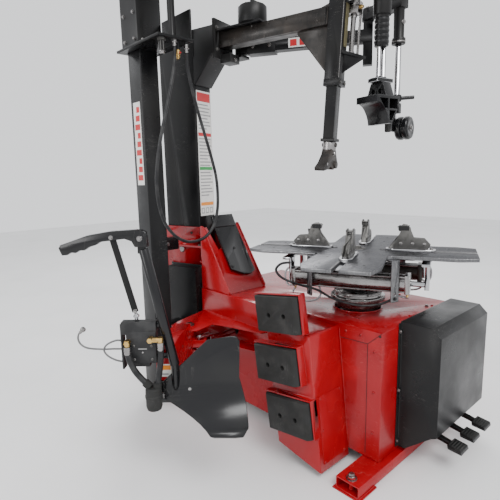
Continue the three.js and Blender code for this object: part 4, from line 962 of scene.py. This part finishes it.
def add_assist_arm_details():
    """Pivot cap, welds and end plate of the first assist arm; rings and label of the second."""
    a = Piece("assist_arm_1_details", "assist_arm_1", ASSIST_1)
    a.lathe((460, 0, 1797), (0, 0, 1), [(22, 50), (22, 54), (15, 55), (15, 60), (12, 61)], BRIGHT, 24)
    for y in (-30.2, 30.2):
        a.weld((22, y, 1845), (60, y, 1845), 1.8, BLACK)
    a.box((494, -30, 1787), (496, 30, 1847), GLOSS, 0.8)
    a.make()
    b = Piece("assist_arm_2_details", "assist_arm_2", ASSIST_2)
    b.lathe((PRESS_REACH, 0, 1900), (0, 0, 1), [(30, 0), (30, 3), (27, 5), (12, 5), (12, 9)], GLOSS, 28)
    for z in (1540, 1560, 1580, 1600, 1620):
        b.lathe((PRESS_REACH, 0, z), (0, 0, 1), [(27, 0), (28.4, 2), (28.4, 8), (27, 10)], GLOSS, 28)
    b.weld((PRESS_REACH - 30, -31, 1714.6), (PRESS_REACH - 30, 31, 1714.6), 2.0, MILL)
    for x in (250, 420):
        b.bolt((x, -30, 1745), (0, -1, 0), 6)
    b.box((300, -31, 1728), (380, -30.1, 1762), PAPER, 0.2)
    b.box((304, -31.4, 1744), (376, -30.6, 1758), PRINT_RED, 0.1)
    b.make()


def add_press_details():
    """Pivot buttons and edge plates of the press pad's carrier, and the neck above it."""
    r = Piece("press_details", "press", placed(ASSIST_2, PRESS_REACH, 0, 0, -90))
    for side in (-1, 1):
        r.lathe((side * 4, 8, 1318), (side, 0, 0), [(6, 0), (6, 3), (4, 4)], BRIGHT, 14)
    r.box((-52.6, -75, 1338), (52.6, 53, 1341.4), GLOSS, 1.2)
    r.box((-52.6, -75.5, 1316), (52.6, -73, 1340), GLOSS, 0.8)
    r.make()
    s = Piece("press_neck", "press", ASSIST_2)
    s.box((PRESS_REACH - 44.6, -24.6, 1394.6), (PRESS_REACH + 44.6, 24.6, 1410.6), GLOSS, 3)
    for x in (-13, 13):
        s.lathe((PRESS_REACH + x, 0, 1410), (0, 0, 1), [(13, 0), (13, 6), (11, 8)], GLOSS, 18)
    s.make()


# ---- roller arm ----
ROLLER_SIDE = -17


def add_roller_arm_details():
    """Label, pivot caps and bolts of the roller's two arms."""
    a = Piece("roller_arm_1_details", "roller_arm_1", ROLLER_1)
    a.lathe((0, 0, 1657), (0, 0, 1), [(22, 0), (22, 4), (13, 5)], BRIGHT, 24)
    for x in (66, 144):
        a.bolt((x, -32, 1630), (0, -1, 0), 8)
    a.box((230, -26, 1610), (450, -25.1, 1650), PAPER, 0.2)
    for i in range(5):
        x = 238 + 42 * i
        a.box((x, -26.4, 1616), (x + 30, -25.6, 1644), PRINT_RED, 0.1)
    a.lathe((574, 0, 1742), (0, 0, 1), [(18, -3), (18, 1), (12, 2), (12, 7), (10, 8)], BRIGHT, 22)
    a.make()
    b = Piece("roller_arm_2_details", "roller_arm_2", ROLLER_2)
    reach = math.dist(ROLLER_ELBOW, ROLLER_AXIS)
    b.lathe((reach, 0, 1562), (0, 0, 1), [(27.6, 3), (27.6, 8)], BRIGHT, 28)
    b.bolt((reach + 21, 0, 1640), (1, 0, 0), 8)
    b.bolt((reach + 21, 0, 1820), (1, 0, 0), 8)
    b.make()


def add_roller_stem_details():
    """Sleeves, lever and grip of the roller's stem, its fork's bolts and the roller's hub."""
    s = Piece("roller_stem_details", "roller_stem", STEM)
    s.box((-14.8, -14.8, 1290.4), (14.8, 21.8, 1331), BLACK, 2)
    s.box((-14.8, 13.6, 1218.4), (30, 21.8, 1332), BLACK, 2)
    s.lathe((50, 21, 1233), (0, 1, 0), [(12, 0), (12, 2), (8, 3), (8, 7)], BRIGHT, 20)
    s.lathe((50, -42, 1233), (0, -1, 0), [(13, 0), (13, 4), (8, 5), (8, 9), (6, 10)], BRIGHT, 20)
    s.lathe((0, 0, 1337), (0, 0, 1), [(18, 0), (18.4, 2), (18.4, 24), (17, 26)], BLACK, 24)
    s.tube([(5, -6, 1350), (24, -30, 1352), (44, -55, 1353.4)], 7.6, GLOSS, 12)
    s.lathe((-26, 24, 1216), (0, 0, 1), [(11, 0), (13, 4), (13, 60), (11, 64)], RUBBER, 18)
    s.make()
    w = Piece("roller_hub", "roller", STEM)
    for side in (-1, 1):
        profile = [(44, -4), (44, 0.2), (40, 1.6), (30, 1.8), (26, 0.6), (16, 0.6), (12, 1.8), (9, 1.6)]
        w.lathe((50, ROLLER_SIDE + side * 27, 1233), (0, side, 0), profile, GLOSS, 28)
    w.make()


# ---- air line's coupling ----
def add_air_line_end():
    """The round steel coupling at the air line's free end."""
    p = Piece("air_line_coupling", "blade", BLADE)
    start, end = Vector(AIR_LINE[-2]), Vector(AIR_LINE[-1])
    along = end - start
    back = along.normalized() * 12
    profile = [(4.6, 0), (5.2, 2), (5.2, 9), (7.6, 11), (8.8, 15), (8.8, 19), (7, 22), (3, 23)]
    p.lathe(end - back, along, profile, BRIGHT, 16)
    return p.make()


# ---- stage, light and camera ----
FLOOR_SIZE = 9.0
FLOOR_DROP = 0.0005


def add_floor():
    """A matt light floor, a hair below the feet."""
    corners = [(-FLOOR_SIZE, -FLOOR_SIZE, -FLOOR_DROP), (FLOOR_SIZE, -FLOOR_SIZE, -FLOOR_DROP),
               (FLOOR_SIZE, FLOOR_SIZE, -FLOOR_DROP), (-FLOOR_SIZE, FLOOR_SIZE, -FLOOR_DROP)]
    mesh = bpy.data.meshes.new("floor")
    mesh.from_pydata(corners, [], [(0, 1, 2, 3)])
    floor = bpy.data.objects.new("floor", mesh)
    bpy.context.scene.collection.objects.link(floor)
    s = Surface("studio_floor", (0.8, 0.8, 0.8), 0.6)
    s.tint((0.76, 0.76, 0.76), 2)
    mesh.materials.append(s.gloss(0.5, 0.65, 3).material)


def add_light(name, place, target, size, power):
    """A rectangular area light at `place` in metres, facing `target`."""
    data = bpy.data.lights.new(name, "AREA")
    data.shape = "RECTANGLE"
    data.size, data.size_y = size
    data.energy = power
    light = bpy.data.objects.new(name, data)
    light.location = place
    light.rotation_euler = (Vector(target) - Vector(place)).to_track_quat("-Z", "Y").to_euler()
    bpy.context.scene.collection.objects.link(light)


def add_lights():
    """Even white surroundings, with a key light in front and weaker ones beside and behind."""
    world = bpy.data.worlds.new("studio")
    world.use_nodes = True
    background = world.node_tree.nodes["Background"]
    background.inputs["Color"].default_value = (0.97, 0.98, 1.0, 1)
    background.inputs["Strength"].default_value = 1.3
    bpy.context.scene.world = world
    middle = (0.1, 0.0, 0.8)
    add_light("key", (-0.9, -3.0, 3.6), middle, (2.2, 1.4), 130)
    add_light("fill", (-3.8, 0.4, 2.2), middle, (0.9, 2.6), 50)
    add_light("back", (2.6, 2.8, 3.4), middle, (2.0, 1.4), 90)


CAMERA_PLACE = (-1485, -987, 1050)
CAMERA_YAW, CAMERA_PITCH, CAMERA_ROLL = 42.4, -9.55, -1.35
CAMERA_LENS = 31.8


def add_camera():
    """The camera beside the machine, a little above its table and tilted down."""
    data = bpy.data.cameras.new("camera")
    data.sensor_width = 36.0
    data.lens = CAMERA_LENS
    data.clip_start = 0.02
    camera = bpy.data.objects.new("camera", data)
    yaw, pitch, roll = (math.radians(a) for a in (CAMERA_YAW, CAMERA_PITCH, CAMERA_ROLL))
    forward = Vector((math.sin(yaw) * math.cos(pitch), math.cos(yaw) * math.cos(pitch), math.sin(pitch)))
    right = Vector((math.cos(yaw), -math.sin(yaw), 0))
    up = right.cross(forward)
    image_right = right * math.cos(roll) + up * math.sin(roll)
    image_up = up * math.cos(roll) - right * math.sin(roll)
    rows = Matrix((image_right, image_up, -forward)).transposed().to_4x4()
    camera.matrix_world = Matrix.Translation(MACHINE @ (Vector(CAMERA_PLACE) * MM)) @ rows
    bpy.context.scene.collection.objects.link(camera)
    bpy.context.scene.camera = camera


add_camera()
add_hoses()
dress_nodes()
add_cabinet_details()
add_pads_box_details()
add_wheel_pad_details()
add_foot_details()
add_cover_details()
add_tower_base_details()
add_guard_pad_details()
add_warning_panel()
add_column_details()
add_tool_details()
add_turntable_details()
add_breaker_arm_details()
add_blade_details()
add_valve_details()
add_hose_boot()
add_grip_details()
add_assist_column_details()
add_carriage_details()
add_assist_arm_details()
add_press_details()
add_roller_arm_details()
add_roller_stem_details()
add_floor()
add_lights()
